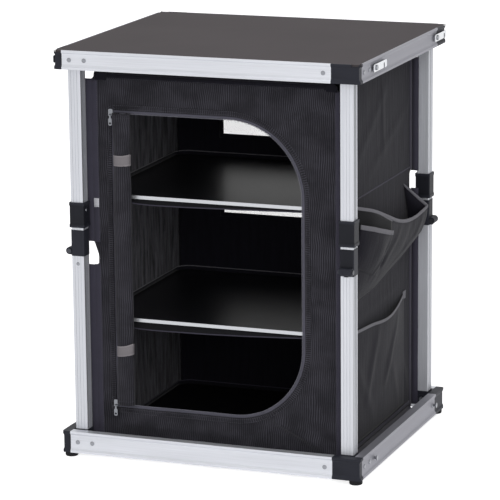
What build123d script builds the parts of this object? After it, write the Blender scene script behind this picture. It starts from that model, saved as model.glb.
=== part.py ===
from build123d import *
from math import cos, pi, sin
import os

# Folding camping cupboard. Units are millimetres.
# The origin is the centre of the floor rectangle under the feet.
# Front is -Y, right is +X, up is +Z.
# Two rectangular frames are joined by four legs. Each leg has a knee, and the four
# knees fold in a pinwheel, each along its own side. A fabric body hangs between them.

# Overall sizes
width = 600.0
depth = 530.0
height = 785.0
foot_height = 9.0
foot_radius = 12.5

# Frame rails and corner castings
rail_width = 16.5
base_rail_height = 42.0
top_rail_height = 36.0
rail_lip = 4.5
rail_slope = 5.0
channel_depth = 2.6
# Where the channel's curved side passes, as shares of its depth and of its slope
channel_curve = (0.72, 0.45)
rail_wall = 1.8
casting_arm = 56.0
casting_radius = 5.0
tongue_length = 28.0
fit_gap = 0.3

# Table top
board_thickness = 4.0
board_edge = 2.6
board_gap = 0.2
board_drop = 0.2

# Legs
leg_size = 25.0
leg_inset = 20.0
leg_wall = 1.8
leg_corner = 1.6
groove_width = 1.6
groove_depth = 0.6
groove_spacing = 6.0
pivot_depth = 15.0
leg_cover = 1.0
plug_length = 34.0

# Knees
knee_offset = 17.5
knee_block = 27.0
knee_block_height = 50.0
knee_block_below_pin = 9.0
knuckle_radius = 7.0
knuckle_half = 4.0
ear_outside = 12.5
pin_radius = 3.0
pin_clearance = 0.05
pin_head_radius = 4.5
pin_head = 1.8
part_line = 0.3

# Lock sleeves
sleeve_size = 31.0
sleeve_height = 48.0
sleeve_gap = 5.0
sleeve_clearance = 0.3
sleeve_rim = 6.0
sleeve_waist = 0.8
sleeve_corner = 2.4

# Leg brackets
cheek_thickness = 2.6
cheek_gap = 0.4
cheek_radius = 9.0
bracket_plate = 3.0
bracket_flange = 61.0
bracket_back = 12.5

# Rivets and studs
rivet_radius = 2.0
rivet_head_radius = 4.2
rivet_head = 1.5
rivet_shank = 3.5
rivet_places = (31.0, 61.0)
casting_rivet = 15.0

# Hook latches
latch_length = 76.0
latch_width = 14.0
latch_thickness = 1.5
latch_pivot_end = 16.0
latch_gap = 0.3
latch_pin_radius = 2.5
latch_head_radius = 5.0
latch_head = 1.5
hook_slot = 6.0
front_latch_place = 90.0
rear_latch_place = 62.0
stud_from_floor = 30.0

# Base slats and floor board
slat_width = 32.0
slat_height = 10.0
slat_from_floor = 12.0
slat_spacing = 170.0
floor_thickness = 5.0

# Fabric body
cloth = 1.5
body_clearance = 5.0
cloth_gap = 0.3
corner_notch = 13.0
notch_low = 370.0
notch_high = 500.0

# Door opening
door_left_margin = 44.0
door_right_margin = 76.0
door_top = 664.0
door_bottom = 97.0
door_curve_high = 145.0
door_curve_low = 137.0

# Rolled door and straps
roll_width = 36.0
roll_depth = 23.0
roll_pinch = 0.86
roll_above_door = 4.0
roll_steps = 36
strap_height = 21.0
strap_thickness = 1.4
strap_places = (575.0, 208.0)

# Shelves
shelf_thickness = 5.0
shelf_tops = (268.0, 506.0)
shelf_front_inset = 9.0
shelf_corner = 18.0
strip_thickness = 2.4
strip_lip = 1.2
strip_proud = 0.3

# Back vents
vent_half_width = 148.0
vent_low = (390.0, 470.0)
vent_high = (551.0, 640.0)
mesh_thickness = 0.8

# Zip sliders and pulls
slider_size = (9.0, 2.8, 13.0)
pull_length = 20.0
pull_width = 7.0
pull_thickness = 1.4
pull_eye = 2.0
pull_pin_radius = 1.0
pull_knuckle = 1.8
pull_grip = 0.7
pull_corner = 0.35
pull_eye_up = 0.6
slider_corner = 0.3
slider_beside_door = 5.0
slider_above_door = 4.0

# Pockets on the right side
# The stations are drawn for a side panel of this half depth, and keep their shares of it
drawn_half_depth = 212.0
# Each station of the bellows pocket: place along Y, reach of its rim from the panel,
# height of the rim, height of its lower edge
bellows_stations = (
    (-172.0, 8.0, 497.0, 306.0),
    (-110.0, 27.0, 487.0, 304.0),
    (-40.0, 35.0, 462.0, 304.0),
    (40.0, 36.0, 444.0, 314.0),
    (130.0, 36.0, 439.0, 333.0),
    (204.0, 35.0, 439.0, 356.0),
)
bellows_back = 509.0
bellows_belly = (0.93, 0.62)
bellows_toe = (0.42, 0.14)
pocket_wall = 1.5
# Each station of the small pocket on its face: place along Y, height of its rim
phone_stations = ((-168.0, 478.0), (-110.0, 466.0), (-48.0, 442.0))
phone_reach = 8.0
phone_depth = 70.0
phone_taper = 1.0
# Each station of the flat pocket: place along Y, height of its rim, reach of its rim
flat_stations = (
    (-170.0, 252.0, 3.0),
    (-60.0, 249.0, 9.0),
    (30.0, 240.0, 14.0),
    (92.0, 238.0, 13.0),
    (136.0, 249.0, 7.0),
    (158.0, 266.0, 3.0),
)
flat_belly_drop = 92.0
flat_low = 40.0
# The flat pocket's belly: share of the rim's reach and what is added to it; its hem's reach
flat_belly = (0.5, 1.0)
flat_hem = 2.0
flat_hollow_width = 0.2

# Worked-out heights and places
base_low = foot_height
base_high = base_low + base_rail_height
top_low = height - top_rail_height
board_low = height - board_drop - board_thickness
rebate = height - board_low
low_pivot = base_high - pivot_depth
high_pivot = top_low + pivot_depth
link = (high_pivot - low_pivot) / 2
knee_height = low_pivot + link
leg_centre = leg_inset + leg_size / 2
leg_low = base_high + leg_cover
leg_high = top_low
split_high = knee_height - knee_block_below_pin
split_low = split_high - part_line
block_high = split_high + knee_block_height
sleeve_low = block_high + sleeve_gap
leg_bore = leg_size - 2 * leg_wall
plug_size = leg_bore - 2 * fit_gap
pin_hole = pin_radius + pin_clearance
fold_drop = 2 * link - 2 * knee_offset
body_half_x = width / 2 - leg_centre - sleeve_size / 2 - body_clearance
body_half_y = depth / 2 - leg_centre - sleeve_size / 2 - body_clearance
door_left = door_left_margin - body_half_x
door_right = body_half_x - door_right_margin
slider_x = door_left - slider_beside_door
slider_heights = (door_top, door_bottom + slider_above_door)
inner_x = body_half_x - cloth
inner_y = body_half_y - cloth
floor_low = slat_from_floor + slat_height
cloth_low = floor_low
cloth_high = board_low - cloth_gap
shelf_front = -body_half_y + shelf_front_inset

side_lengths = (width, depth, width, depth)
side_corners = (
    (-width / 2, -depth / 2),
    (width / 2, -depth / 2),
    (width / 2, depth / 2),
    (-width / 2, depth / 2),
)
leg_names = ("front_left", "front_right", "back_right", "back_left")


def block(x0, x1, y0, y1, z0, z1):
    """A box from its lowest to its highest corner."""
    centre = Pos((x0 + x1) / 2, (y0 + y1) / 2, (z0 + z1) / 2)
    return centre * Box(x1 - x0, y1 - y0, z1 - z0)


def side(k):
    """The place of side k: +X runs along it from its first corner, +Y runs inward."""
    x, y = side_corners[k]
    return Pos(x, y, 0) * Rot(0, 0, 90 * k)


def cylinder_y(radius, x, y0, y1, z):
    """A cylinder along Y between y0 and y1."""
    return Pos(x, (y0 + y1) / 2, z) * Rot(90, 0, 0) * Cylinder(radius, y1 - y0)


def merged(solids):
    """Separate solids of one node, kept as a group."""
    return Compound(children=list(solids))


def ruled(sections):
    return loft(sections, ruled=True)


def write(shape, node):
    export_step(shape, "parts/" + node + ".step")


# Rail section

def rail_face(high, step):
    """The rail's outline across its length: outer face at Y = 0, a shallow channel in it."""
    rise = rail_lip + rail_slope
    in_channel = channel_depth * channel_curve[0]
    up_slope = rail_slope * channel_curve[1]
    low_lip = Line((0, 0), (0, rail_lip))
    low_curve = ThreePointArc(
        (0, rail_lip), (in_channel, rail_lip + up_slope), (channel_depth, rise)
    )
    floor_line = Line((channel_depth, rise), (channel_depth, high - rise))
    high_curve = ThreePointArc(
        (channel_depth, high - rise),
        (in_channel, high - rail_lip - up_slope),
        (0, high - rail_lip),
    )
    if step > 0:
        rest = Polyline(
            (0, high - rail_lip), (0, high), (board_edge, high), (board_edge, high - step),
            (rail_width, high - step), (rail_width, 0), (0, 0),
        )
    else:
        rest = Polyline((0, high - rail_lip), (0, high), (rail_width, high), (rail_width, 0), (0, 0))
    outline = Plane.YZ * (low_lip + low_curve + floor_line + high_curve + rest)
    return make_face(outline)


def rail(length, high, step, z0, rivets):
    """A hollow rail with its rivet holes."""
    solid = extrude(rail_face(high, step), length, dir=(1, 0, 0))
    solid -= block(
        -1, length + 1, channel_depth + rail_wall, rail_width - rail_wall,
        rail_wall, high - step - rail_wall,
    )
    middle = high / 2
    for place in rivets:
        hole = rivet_radius + pin_clearance
        solid -= cylinder_y(hole, place - rail_width, -1, channel_depth + rail_wall + 1, middle)
    return Pos(rail_width, 0, z0) * solid


def casting(length, high, step, z0):
    """A corner casting at the far end of a side, with a tongue into each rail."""
    start = length - casting_arm
    corner = make_face(
        Line((start, 0), (length - casting_radius, 0))
        + ThreePointArc(
            (length - casting_radius, 0),
            (length - casting_radius * (1 - sin(pi / 4)), casting_radius * (1 - cos(pi / 4))),
            (length, casting_radius),
        )
        + Polyline((length, casting_radius), (length, rail_width), (start, rail_width), (start, 0))
    )
    body = extrude(corner, high, dir=(0, 0, 1))
    body &= Pos(start, 0, 0) * extrude(rail_face(high, step), casting_arm, dir=(1, 0, 0))
    next_face = Pos(length, 0, 0) * Rot(0, 0, 90) * extrude(rail_face(high, step), rail_width, dir=(1, 0, 0))
    shell = block(length - rail_width, length, 0, rail_width, 0, high) - next_face
    body -= shell
    low = rail_wall + fit_gap
    top = high - step - rail_wall - fit_gap
    outer = channel_depth + rail_wall + fit_gap
    inner = rail_width - rail_wall - fit_gap
    body += block(start - tongue_length, start, outer, inner, low, top)
    body += block(
        length - inner, length - outer, rail_width, rail_width + tongue_length, low, top
    )
    hole = rivet_radius + pin_clearance
    body -= cylinder_y(hole, start - casting_rivet, -1, rail_width / 2, high / 2)
    turned = Pos(length, 0, 0) * Rot(0, 0, 90)
    body -= turned * cylinder_y(hole, rivet_places[0], -1, rail_width / 2, high / 2)
    return Pos(0, 0, z0) * body


def rail_rivet_places(length):
    return rivet_places + (length - casting_arm - casting_rivet,)


def rivet(place, z):
    """A dome-headed rivet in the channel of a side."""
    shank = cylinder_y(rivet_radius, place, channel_depth, channel_depth + rivet_shank, z)
    head = cylinder_y(rivet_head_radius, place, channel_depth - rivet_head, channel_depth, z)
    rim = head.edges().group_by(Axis.Y)[0]
    return shank + fillet(rim, rivet_head * 0.8)


# Legs, in the place of a side

def tube_section():
    """A square tube with two shallow grooves on each face."""
    outer = RectangleRounded(leg_size, leg_size, leg_corner)
    for turn in range(4):
        for offset in (-groove_spacing, 0, groove_spacing):
            cut = Rot(0, 0, 90 * turn) * Pos(leg_size / 2, offset)
            outer -= cut * Rectangle(2 * groove_depth, groove_width)
    return outer - Rectangle(leg_bore, leg_bore)


def leg_tube(z0, z1):
    return Pos(leg_centre, leg_centre, z0) * extrude(tube_section(), z1 - z0)


def plug(z0, z1):
    half = plug_size / 2
    c = leg_centre
    return block(c - half, c + half, c - half, c + half, z0, z1)


def end_block(pivot, shoulder):
    """The block that turns on a frame pivot and plugs into the tube at shoulder."""
    c = leg_centre
    half = leg_size / 2
    low, high = min(pivot, shoulder), max(pivot, shoulder)
    body = block(c - half, c + half, c - half, c + half, low, high)
    body += cylinder_y(half, c, c - half, c + half, pivot)
    if shoulder > pivot:
        body += plug(shoulder, shoulder + plug_length)
    else:
        body += plug(shoulder - plug_length, shoulder)
    return body - cylinder_y(pin_hole, c, 0, 2 * c, pivot)


def knee_plug():
    """The lower half of the knee: a plug in the lower tube with one knuckle."""
    c = leg_centre
    pin_x = c - knee_offset
    body = plug(split_low - plug_length, split_low)
    arm_end = c - plug_size / 2 + 2 * knuckle_half
    body += block(
        pin_x, arm_end, c - knuckle_half, c + knuckle_half,
        split_low, knee_height - knuckle_half / 2,
    )
    body += cylinder_y(knuckle_radius, pin_x, c - knuckle_half, c + knuckle_half, knee_height)
    return body - cylinder_y(pin_hole, pin_x, 0, 2 * c, knee_height)


def knee_head():
    """The upper half of the knee: a block under the upper tube with two ears."""
    c = leg_centre
    half = knee_block / 2
    pin_x = c - knee_offset
    body = Pos(c, c, split_high) * extrude(
        RectangleRounded(knee_block, knee_block, 2 * leg_corner), knee_block_height
    )
    body += block(
        pin_x, c, c - ear_outside, c + ear_outside,
        knee_height - knuckle_radius, knee_height + knuckle_radius,
    )
    body += cylinder_y(knuckle_radius, pin_x, c - ear_outside, c + ear_outside, knee_height)
    slot = knuckle_half + part_line
    arm_end = c - plug_size / 2 + 2 * knuckle_half
    body -= cylinder_y(knuckle_radius + part_line, pin_x, c - slot, c + slot, knee_height)
    body -= block(
        pin_x - 2 * knuckle_radius, pin_x, c - slot, c + slot,
        knee_height - 2 * knuckle_radius, knee_height + 2 * knuckle_radius,
    )
    body -= block(
        pin_x, arm_end + part_line, c - slot, c + slot,
        split_high - 1, knee_height - knuckle_half / 2 + part_line,
    )
    body += plug(block_high, block_high + plug_length)
    return body - cylinder_y(pin_hole, pin_x, 0, 2 * c, knee_height)


def knee_pin():
    c = leg_centre
    pin_x = c - knee_offset
    reach = ear_outside + part_line
    body = cylinder_y(pin_radius, pin_x, c - reach, c + reach, knee_height)
    body += cylinder_y(pin_head_radius, pin_x, c - reach - pin_head, c - reach, knee_height)
    body += cylinder_y(pin_head_radius, pin_x, c + reach, c + reach + pin_head, knee_height)
    return body


def square_bar(width_across, corner, high):
    return extrude(RectangleRounded(width_across, width_across, corner), high)


def lock_sleeve():
    """A sleeve round the upper tube, with a rim at each end."""
    bore = leg_size + 2 * sleeve_clearance
    waist = sleeve_size - 2 * sleeve_waist
    outer = square_bar(sleeve_size, sleeve_corner, sleeve_height)
    band = square_bar(2 * sleeve_size, sleeve_corner, sleeve_height - 2 * sleeve_rim)
    band -= square_bar(waist, sleeve_corner - sleeve_waist / 2, sleeve_height)
    outer -= Pos(0, 0, sleeve_rim) * band
    outer -= square_bar(bore, leg_corner, sleeve_height)
    return Pos(leg_centre, leg_centre, sleeve_low) * outer


def bracket(pivot, plate_outer):
    """A U bracket on the inner face of the rail. plate_outer is the outer face of its plate."""
    c = leg_centre
    half = leg_size / 2
    down = plate_outer < pivot
    plate_inner = plate_outer + bracket_plate if down else plate_outer - bracket_plate
    plate = (min(plate_outer, plate_inner), max(plate_outer, plate_inner))
    span = (min(plate_outer, pivot), max(plate_outer, pivot))
    inner_cheek = c + half + cheek_gap
    body = block(c - bracket_back, c + bracket_back, rail_width, inner_cheek + cheek_thickness, *plate)
    body += block(
        c - cheek_radius, c + cheek_radius, inner_cheek, inner_cheek + cheek_thickness, *span
    )
    body += cylinder_y(cheek_radius, c, inner_cheek, inner_cheek + cheek_thickness, pivot)
    outer = (rail_width, leg_inset - cheek_gap)
    body += block(c - bracket_back, c - bracket_back + bracket_flange, *outer, *span)
    body += cylinder_y(cheek_radius, c, *outer, pivot)
    return body - cylinder_y(pin_hole, c, 0, 2 * c, pivot)


def pivot_pin(pivot):
    c = leg_centre
    inner = c + leg_size / 2 + cheek_gap + cheek_thickness
    body = cylinder_y(pin_radius, c, rail_width + part_line, inner + pin_clearance, pivot)
    head = cylinder_y(pin_head_radius, c, inner + pin_clearance, inner + pin_head, pivot)
    return body + head


# Hook latches, on the right and left sides

latch_pivot_z = top_low + top_rail_height / 2
hook_reach = latch_pivot_z - fold_drop - stud_from_floor


def latch_places(length):
    return (front_latch_place, length - rear_latch_place)


def latch(place):
    """A flat bar lying along the rail, with a hook slot in its lower edge."""
    half = latch_width / 2
    outline = Pos(latch_length / 2 - latch_pivot_end, 0) * RectangleRounded(
        latch_length, latch_width, half * 0.6
    )
    outline -= Circle(latch_pin_radius + pin_clearance)
    outline -= Pos(hook_reach, 0) * Circle(hook_slot / 2)
    outline -= Pos(hook_reach, -half) * Rectangle(hook_slot, 2 * half)
    bar = extrude(Plane.XZ * outline, latch_thickness)
    return Pos(place, -latch_gap, latch_pivot_z) * bar


def latch_pivot(place):
    """The shouldered rivet that a latch turns on."""
    z = latch_pivot_z
    body = cylinder_y(latch_pin_radius * 1.6, place, -latch_gap / 2, channel_depth, z)
    body += cylinder_y(latch_pin_radius, place, -latch_gap - latch_thickness - latch_gap, 0, z)
    outer = -latch_gap - latch_thickness - latch_gap
    body += cylinder_y(latch_head_radius, place, outer - latch_head, outer, z)
    return body


def latch_stud(place):
    """The headed stud that a latch hooks on when the cupboard is folded."""
    z = stud_from_floor
    outer = -latch_gap - latch_thickness - latch_gap
    body = cylinder_y(latch_pin_radius, place, outer, channel_depth, z)
    body += cylinder_y(latch_head_radius, place, outer - latch_head, outer, z)
    return body


# Feet

def foot():
    body = Cylinder(foot_radius, foot_height, align=(Align.CENTER, Align.CENTER, Align.MIN))
    body = fillet(body.edges().group_by(Axis.Z)[0], foot_height * 0.3)
    return Pos(foot_radius + 1, foot_radius + 1, 0) * body


# Base and top frames

def build_frame(prefix, high, step, z0):
    rails = []
    castings = []
    rivets = []
    for k, length in enumerate(side_lengths):
        places = rail_rivet_places(length)
        run = length - rail_width - casting_arm
        rails.append(side(k) * rail(run, high, step, z0, places))
        castings.append(side(k) * casting(length, high, step, z0))
        for place in places:
            rivets.append(side(k) * rivet(place, z0 + high / 2))
    write(merged(rails[0::2]), prefix + "_rails_long")
    write(merged(rails[1::2]), prefix + "_rails_short")
    write(merged(castings), prefix + "_corners")
    return rivets


def build_base():
    rivets = build_frame("base", base_rail_height, 0, base_low)
    plate = low_pivot - leg_size / 2 - 1 - bracket_plate
    pins = [side(k) * pivot_pin(low_pivot) for k in range(4)]
    write(merged(rivets + pins), "base_rivets")
    write(merged(side(k) * bracket(low_pivot, plate) for k in range(4)), "base_brackets")
    write(merged(side(k) * foot() for k in range(4)), "feet")
    studs = [side(k) * latch_stud(p) for k in (1, 3) for p in latch_places(side_lengths[k])]
    write(merged(studs), "latch_studs")
    half = depth / 2 - rail_width
    slats = [
        block(x - slat_width / 2, x + slat_width / 2, -half, half, slat_from_floor, floor_low)
        for x in (-slat_spacing, 0, slat_spacing)
    ]
    write(merged(slats), "base_slats")
    board_x = inner_x - cloth_gap
    board_y = inner_y - cloth_gap
    board = Pos(0, 0, floor_low) * extrude(
        RectangleRounded(2 * board_x, 2 * board_y, shelf_corner), floor_thickness
    )
    write(board, "floor_board")


def build_top():
    rivets = build_frame("top", top_rail_height, rebate, top_low)
    pins = [side(k) * pivot_pin(high_pivot) for k in range(4)]
    pivots = [side(k) * latch_pivot(p) for k in (1, 3) for p in latch_places(side_lengths[k])]
    write(merged(rivets + pins + pivots), "top_rivets")
    write(merged(side(k) * bracket(high_pivot, board_low) for k in range(4)), "top_brackets")
    edge = 2 * (board_edge + board_gap)
    board = Pos(0, 0, board_low) * extrude(
        RectangleRounded(width - edge, depth - edge, casting_radius / 2), board_thickness
    )
    write(board, "top_board")
    names = (("right_front", "right_rear"), ("left_rear", "left_front"))
    for k, pair in zip((1, 3), names):
        for place, name in zip(latch_places(side_lengths[k]), pair):
            write(side(k) * latch(place), "latch_" + name)


def build_legs():
    for k, name in enumerate(leg_names):
        write(side(k) * leg_tube(leg_low, split_low), "lower_leg_" + name)
        lower_ends = [side(k) * end_block(low_pivot, leg_low), side(k) * knee_plug()]
        write(merged(lower_ends), "lower_ends_" + name)
        write(side(k) * leg_tube(block_high, leg_high), "upper_leg_" + name)
        upper_ends = [side(k) * end_block(high_pivot, leg_high), side(k) * knee_head()]
        write(merged(upper_ends), "upper_ends_" + name)
        write(side(k) * knee_pin(), "knee_pin_" + name)
        write(side(k) * lock_sleeve(), "lock_sleeve_" + name)


# Fabric body

def notched(panel):
    """Cut the knee notches out of a panel's upright edges."""
    for x in (-body_half_x, body_half_x):
        for y in (-body_half_y, body_half_y):
            panel -= block(
                x - corner_notch, x + corner_notch, y - corner_notch, y + corner_notch,
                notch_low, notch_high,
            )
    return panel


def door_outline():
    """The D-shaped opening, straight at the left and curved at the right."""
    curve = door_curve_high
    low = door_curve_low
    swing = sin(pi / 4)
    top_mid = (door_right - curve * (1 - swing), door_top - curve * (1 - swing))
    low_mid = (door_right - low * (1 - swing), door_bottom + low * (1 - swing))
    line = Polyline((door_left, door_bottom), (door_left, door_top), (door_right - curve, door_top))
    line += ThreePointArc(
        (door_right - curve, door_top), top_mid, (door_right, door_top - curve)
    )
    line += Line((door_right, door_top - curve), (door_right, door_bottom + low))
    line += ThreePointArc(
        (door_right, door_bottom + low), low_mid, (door_right - low, door_bottom)
    )
    line += Line((door_right - low, door_bottom), (door_left, door_bottom))
    return make_face(Plane.XZ * line)


def build_panels():
    x, y = body_half_x, body_half_y
    front = block(-x, x, -y, -y + cloth, cloth_low, cloth_high)
    front -= Pos(0, -y, 0) * extrude(door_outline(), 3 * cloth, both=True)
    write(notched(front), "fabric_front")
    back = block(-x, x, y - cloth, y, cloth_low, cloth_high)
    vents = []
    for low, high in (vent_low, vent_high):
        back -= block(-vent_half_width, vent_half_width, y - 2 * cloth, y + cloth, low, high)
        middle = y - cloth / 2
        half = mesh_thickness / 2
        vents.append(
            block(
                -vent_half_width, vent_half_width, middle - half, middle + half, low, high
            )
        )
    write(notched(back), "fabric_back")
    write(merged(vents), "back_vents")
    for sign, name in ((-1, "fabric_left"), (1, "fabric_right")):
        x0, x1 = sorted((sign * x, sign * (x - cloth)))
        panel = block(x0, x1, -y + cloth, y - cloth, cloth_low, cloth_high)
        write(notched(panel), name)


# Rolled door

roll_x = door_left + roll_width / 2 + 2 * cloth_gap
roll_back = shelf_front - strip_thickness - cloth_gap
roll_y = roll_back - strap_thickness - cloth_gap - roll_depth / 2


def roll_scale(z):
    """How much the roll is drawn in at height z by the straps."""
    scale = 1.0
    for place in strap_places:
        near = abs(z - place) / (2.5 * strap_height)
        if near < 1:
            scale = min(scale, 1 - (1 - roll_pinch) * (1 + cos(pi * near)) / 2)
    return scale


def roll_section(z):
    s = roll_scale(z)
    return Pos(roll_x, roll_y, z) * Ellipse(roll_width / 2 * s, roll_depth / 2 * s)


def build_roll():
    low = door_bottom + roll_above_door
    high = door_top
    heights = [low + (high - low) * i / roll_steps for i in range(roll_steps + 1)]
    write(ruled([roll_section(z) for z in heights]), "door_roll")
    straps = []
    for place in strap_places:
        low = place - strap_height / 2
        drawn = roll_scale(low)
        rx = roll_width / 2 * drawn + cloth_gap
        ry = roll_depth / 2 * drawn + cloth_gap
        ring = Ellipse(rx + strap_thickness, ry + strap_thickness) - Ellipse(rx, ry)
        straps.append(Pos(roll_x, roll_y, low) * extrude(ring, strap_height))
    write(merged(straps), "roll_straps")


# Pockets

def pocket_section(y, points):
    """A flat section across Y through (x, z) points measured out from the right panel."""
    face = body_half_x + cloth_gap
    shifted = [(face + x, z) for x, z in points]
    place = y * body_half_y / drawn_half_depth
    return Pos(0, place, 0) * make_face(Plane.XZ * Polyline(*shifted, close=True))


def drawn_in(stations, wall):
    """The stations with the first and the last one moved inward by wall."""
    places = [station[0] for station in stations]
    places[0] += wall
    places[-1] -= wall
    return list(zip(places, [station[1:] for station in stations]))


def bellows_outer(y, reach, rim, low):
    high = rim - low
    belly = (reach * bellows_belly[0], low + high * bellows_belly[1])
    toe = (reach * bellows_toe[0], low + high * bellows_toe[1])
    return pocket_section(y, [(0, bellows_back), (reach, rim), belly, toe, (0, low)])


def bellows_hollow(y, reach, rim, low):
    high = rim - low
    wall = pocket_wall
    over = bellows_back + reach
    belly = (reach * bellows_belly[0] - wall, low + high * bellows_belly[1])
    toe = (wall, low + high * bellows_toe[1] + wall)
    return pocket_section(y, [(wall, over), (reach - wall, over), (reach - wall, rim), belly, toe])


def bellows_reach(y):
    """Reach of the bellows pocket's rim at place y."""
    for low, high in zip(bellows_stations, bellows_stations[1:]):
        if low[0] <= y <= high[0]:
            share = (y - low[0]) / (high[0] - low[0])
            return low[1] + (high[1] - low[1]) * share
    return bellows_stations[-1][1]


def phone_section(y, rim):
    inner = bellows_reach(y) + cloth_gap
    outer = inner + phone_reach
    return pocket_section(
        y, [(inner, rim), (outer, rim), (outer - phone_taper, rim - phone_depth), (inner, rim - phone_depth)]
    )


def flat_outer(y, rim, reach):
    belly = (reach * flat_belly[0] + flat_belly[1], rim - flat_belly_drop)
    return pocket_section(y, [(0, rim), (reach, rim), belly, (flat_hem, flat_low), (0, flat_low)])


def flat_hollow(y, rim, reach):
    wall = pocket_wall / 2
    low = rim - flat_belly_drop
    over = rim + 2 * reach
    outer = reach - wall
    floor = wall + flat_hollow_width
    return pocket_section(y, [(wall, over), (outer, over), (outer, rim), (floor, low), (wall, low)])


def build_pockets():
    bellows = ruled([bellows_outer(*s) for s in bellows_stations])
    hollow = [bellows_hollow(y, *rest) for y, rest in drawn_in(bellows_stations, pocket_wall)]
    bellows -= ruled(hollow)
    phone = ruled([phone_section(*s) for s in phone_stations])
    flat = ruled([flat_outer(*s) for s in flat_stations])
    flat -= ruled([flat_hollow(y, *rest) for y, rest in drawn_in(flat_stations, pocket_wall)])
    write(merged([bellows, phone, flat]), "side_pockets")


# Shelves

def build_shelves():
    half_x = inner_x - cloth_gap
    back = inner_y - cloth_gap
    for top, name in zip(shelf_tops, ("lower", "upper")):
        plan = Pos(0, (shelf_front + back) / 2) * Rectangle(2 * half_x, back - shelf_front)
        board = extrude(plan, shelf_thickness)
        rear = board.edges().filter_by(Axis.Z).group_by(Axis.Y)[-1]
        board = fillet(rear, shelf_corner)
        write(Pos(0, 0, top - shelf_thickness) * board, "shelf_" + name)
        low = top - shelf_thickness - strip_lip
        strip = block(
            -half_x, half_x, shelf_front - strip_thickness, shelf_front, low, top + strip_proud
        )
        write(strip, "shelf_strip_" + name)


# Zip sliders and pulls

def build_zips():
    wide, thick, high = slider_size
    y = -body_half_y - cloth_gap
    for z, name in zip(slider_heights, ("upper", "lower")):
        body = block(slider_x - wide / 2, slider_x + wide / 2, y - thick, y, z - high / 2, z + high / 2)
        body = fillet(body.edges().filter_by(Axis.Y), wide * slider_corner)
        pin_z = z - high / 2 + pull_knuckle
        pin_y = y - thick - pull_knuckle - cloth_gap
        hinge = Pos(slider_x, pin_y, pin_z) * Rot(0, 90, 0)
        body += hinge * Cylinder(pull_pin_radius, pull_width)
        neck = pull_width / 2
        for sign in (-1, 1):
            inner = slider_x + sign * (neck / 2 + cloth_gap)
            outer = slider_x + sign * (neck / 2 + cloth_gap + pull_thickness)
            body += block(
                min(inner, outer), max(inner, outer), pin_y - pull_pin_radius, y - thick,
                pin_z - pull_pin_radius, pin_z + pull_pin_radius,
            )
        write(body, "zip_slider_" + name)
        low = pin_z - pull_length
        grip = pull_length * pull_grip
        tag = Pos(slider_x, low + grip / 2) * RectangleRounded(pull_width, grip, pull_width * pull_corner)
        tag += Pos(slider_x, (low + pin_z + grip) / 2) * Rectangle(neck, pull_length - grip)
        tag -= Pos(slider_x, low + pull_width * pull_eye_up) * Circle(pull_eye)
        plate = Pos(0, pin_y, 0) * extrude(Plane.XZ * tag, pull_thickness / 2, both=True)
        plate += hinge * Cylinder(pull_knuckle, neck)
        write(plate - hinge * Cylinder(pull_pin_radius + pin_clearance, pull_width * 2),
              "zip_pull_" + name)


os.makedirs("parts", exist_ok=True)
build_base()
build_top()
build_legs()
build_panels()
build_roll()
build_pockets()
build_shelves()
build_zips()
print("knee", knee_height, "fold drop", fold_drop, "body half", body_half_x, body_half_y)
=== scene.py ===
"""Camping cupboard: cloth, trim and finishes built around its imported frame."""

import math

import bpy
import numpy as np
from bpy.props import FloatProperty, FloatVectorProperty, IntProperty, PointerProperty
from mathutils import Matrix, Vector, noise
from mathutils.geometry import delaunay_2d_cdt


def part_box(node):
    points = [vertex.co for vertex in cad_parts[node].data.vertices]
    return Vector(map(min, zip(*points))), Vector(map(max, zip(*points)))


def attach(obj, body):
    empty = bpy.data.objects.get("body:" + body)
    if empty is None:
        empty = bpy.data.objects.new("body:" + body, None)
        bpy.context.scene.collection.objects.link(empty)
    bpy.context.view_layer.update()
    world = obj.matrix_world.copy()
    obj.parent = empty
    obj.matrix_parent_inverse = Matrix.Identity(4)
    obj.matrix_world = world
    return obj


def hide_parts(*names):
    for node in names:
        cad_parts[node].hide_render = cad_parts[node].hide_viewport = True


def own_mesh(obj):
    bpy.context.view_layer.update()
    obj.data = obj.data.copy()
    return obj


bl_info = {
    "name": "Camping Cupboard",
    "version": (1, 0, 0),
    "blender": (4, 5, 0),
    "location": "View3D > Sidebar > Cupboard",
    "description": "Dresses the frame of a folding camping cupboard in cloth, trim and finishes",
    "category": "Add Mesh",
}

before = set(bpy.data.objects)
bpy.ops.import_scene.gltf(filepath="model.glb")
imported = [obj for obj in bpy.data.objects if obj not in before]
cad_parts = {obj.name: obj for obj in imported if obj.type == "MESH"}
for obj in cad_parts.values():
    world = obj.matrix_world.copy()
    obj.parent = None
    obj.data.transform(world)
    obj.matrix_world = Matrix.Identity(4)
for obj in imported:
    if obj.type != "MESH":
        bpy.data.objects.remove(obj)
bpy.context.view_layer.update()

MM = 0.001


def low_high(node):
    """A node's lowest and highest corner in millimetres."""
    low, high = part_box(node)
    return [value / MM for value in low], [value / MM for value in high]


# Places taken from the frame, in millimetres
PANEL_LOW, PANEL_HIGH = low_high("fabric_front")
HALF_X = PANEL_HIGH[0]
HALF_Y = -PANEL_LOW[1]
CLOTH_LOW = PANEL_LOW[2]
CLOTH_HIGH = PANEL_HIGH[2]
ROLL_LOW, ROLL_HIGH = low_high("door_roll")
STRAP_LOW, STRAP_HIGH = low_high("roll_straps")
FLOOR_TOP = low_high("floor_board")[1][2]
SHELF_BOXES = {name: low_high("shelf_" + name) for name in ("lower", "upper")}
LEGS = ("front_left", "front_right", "back_right", "back_left")

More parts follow.
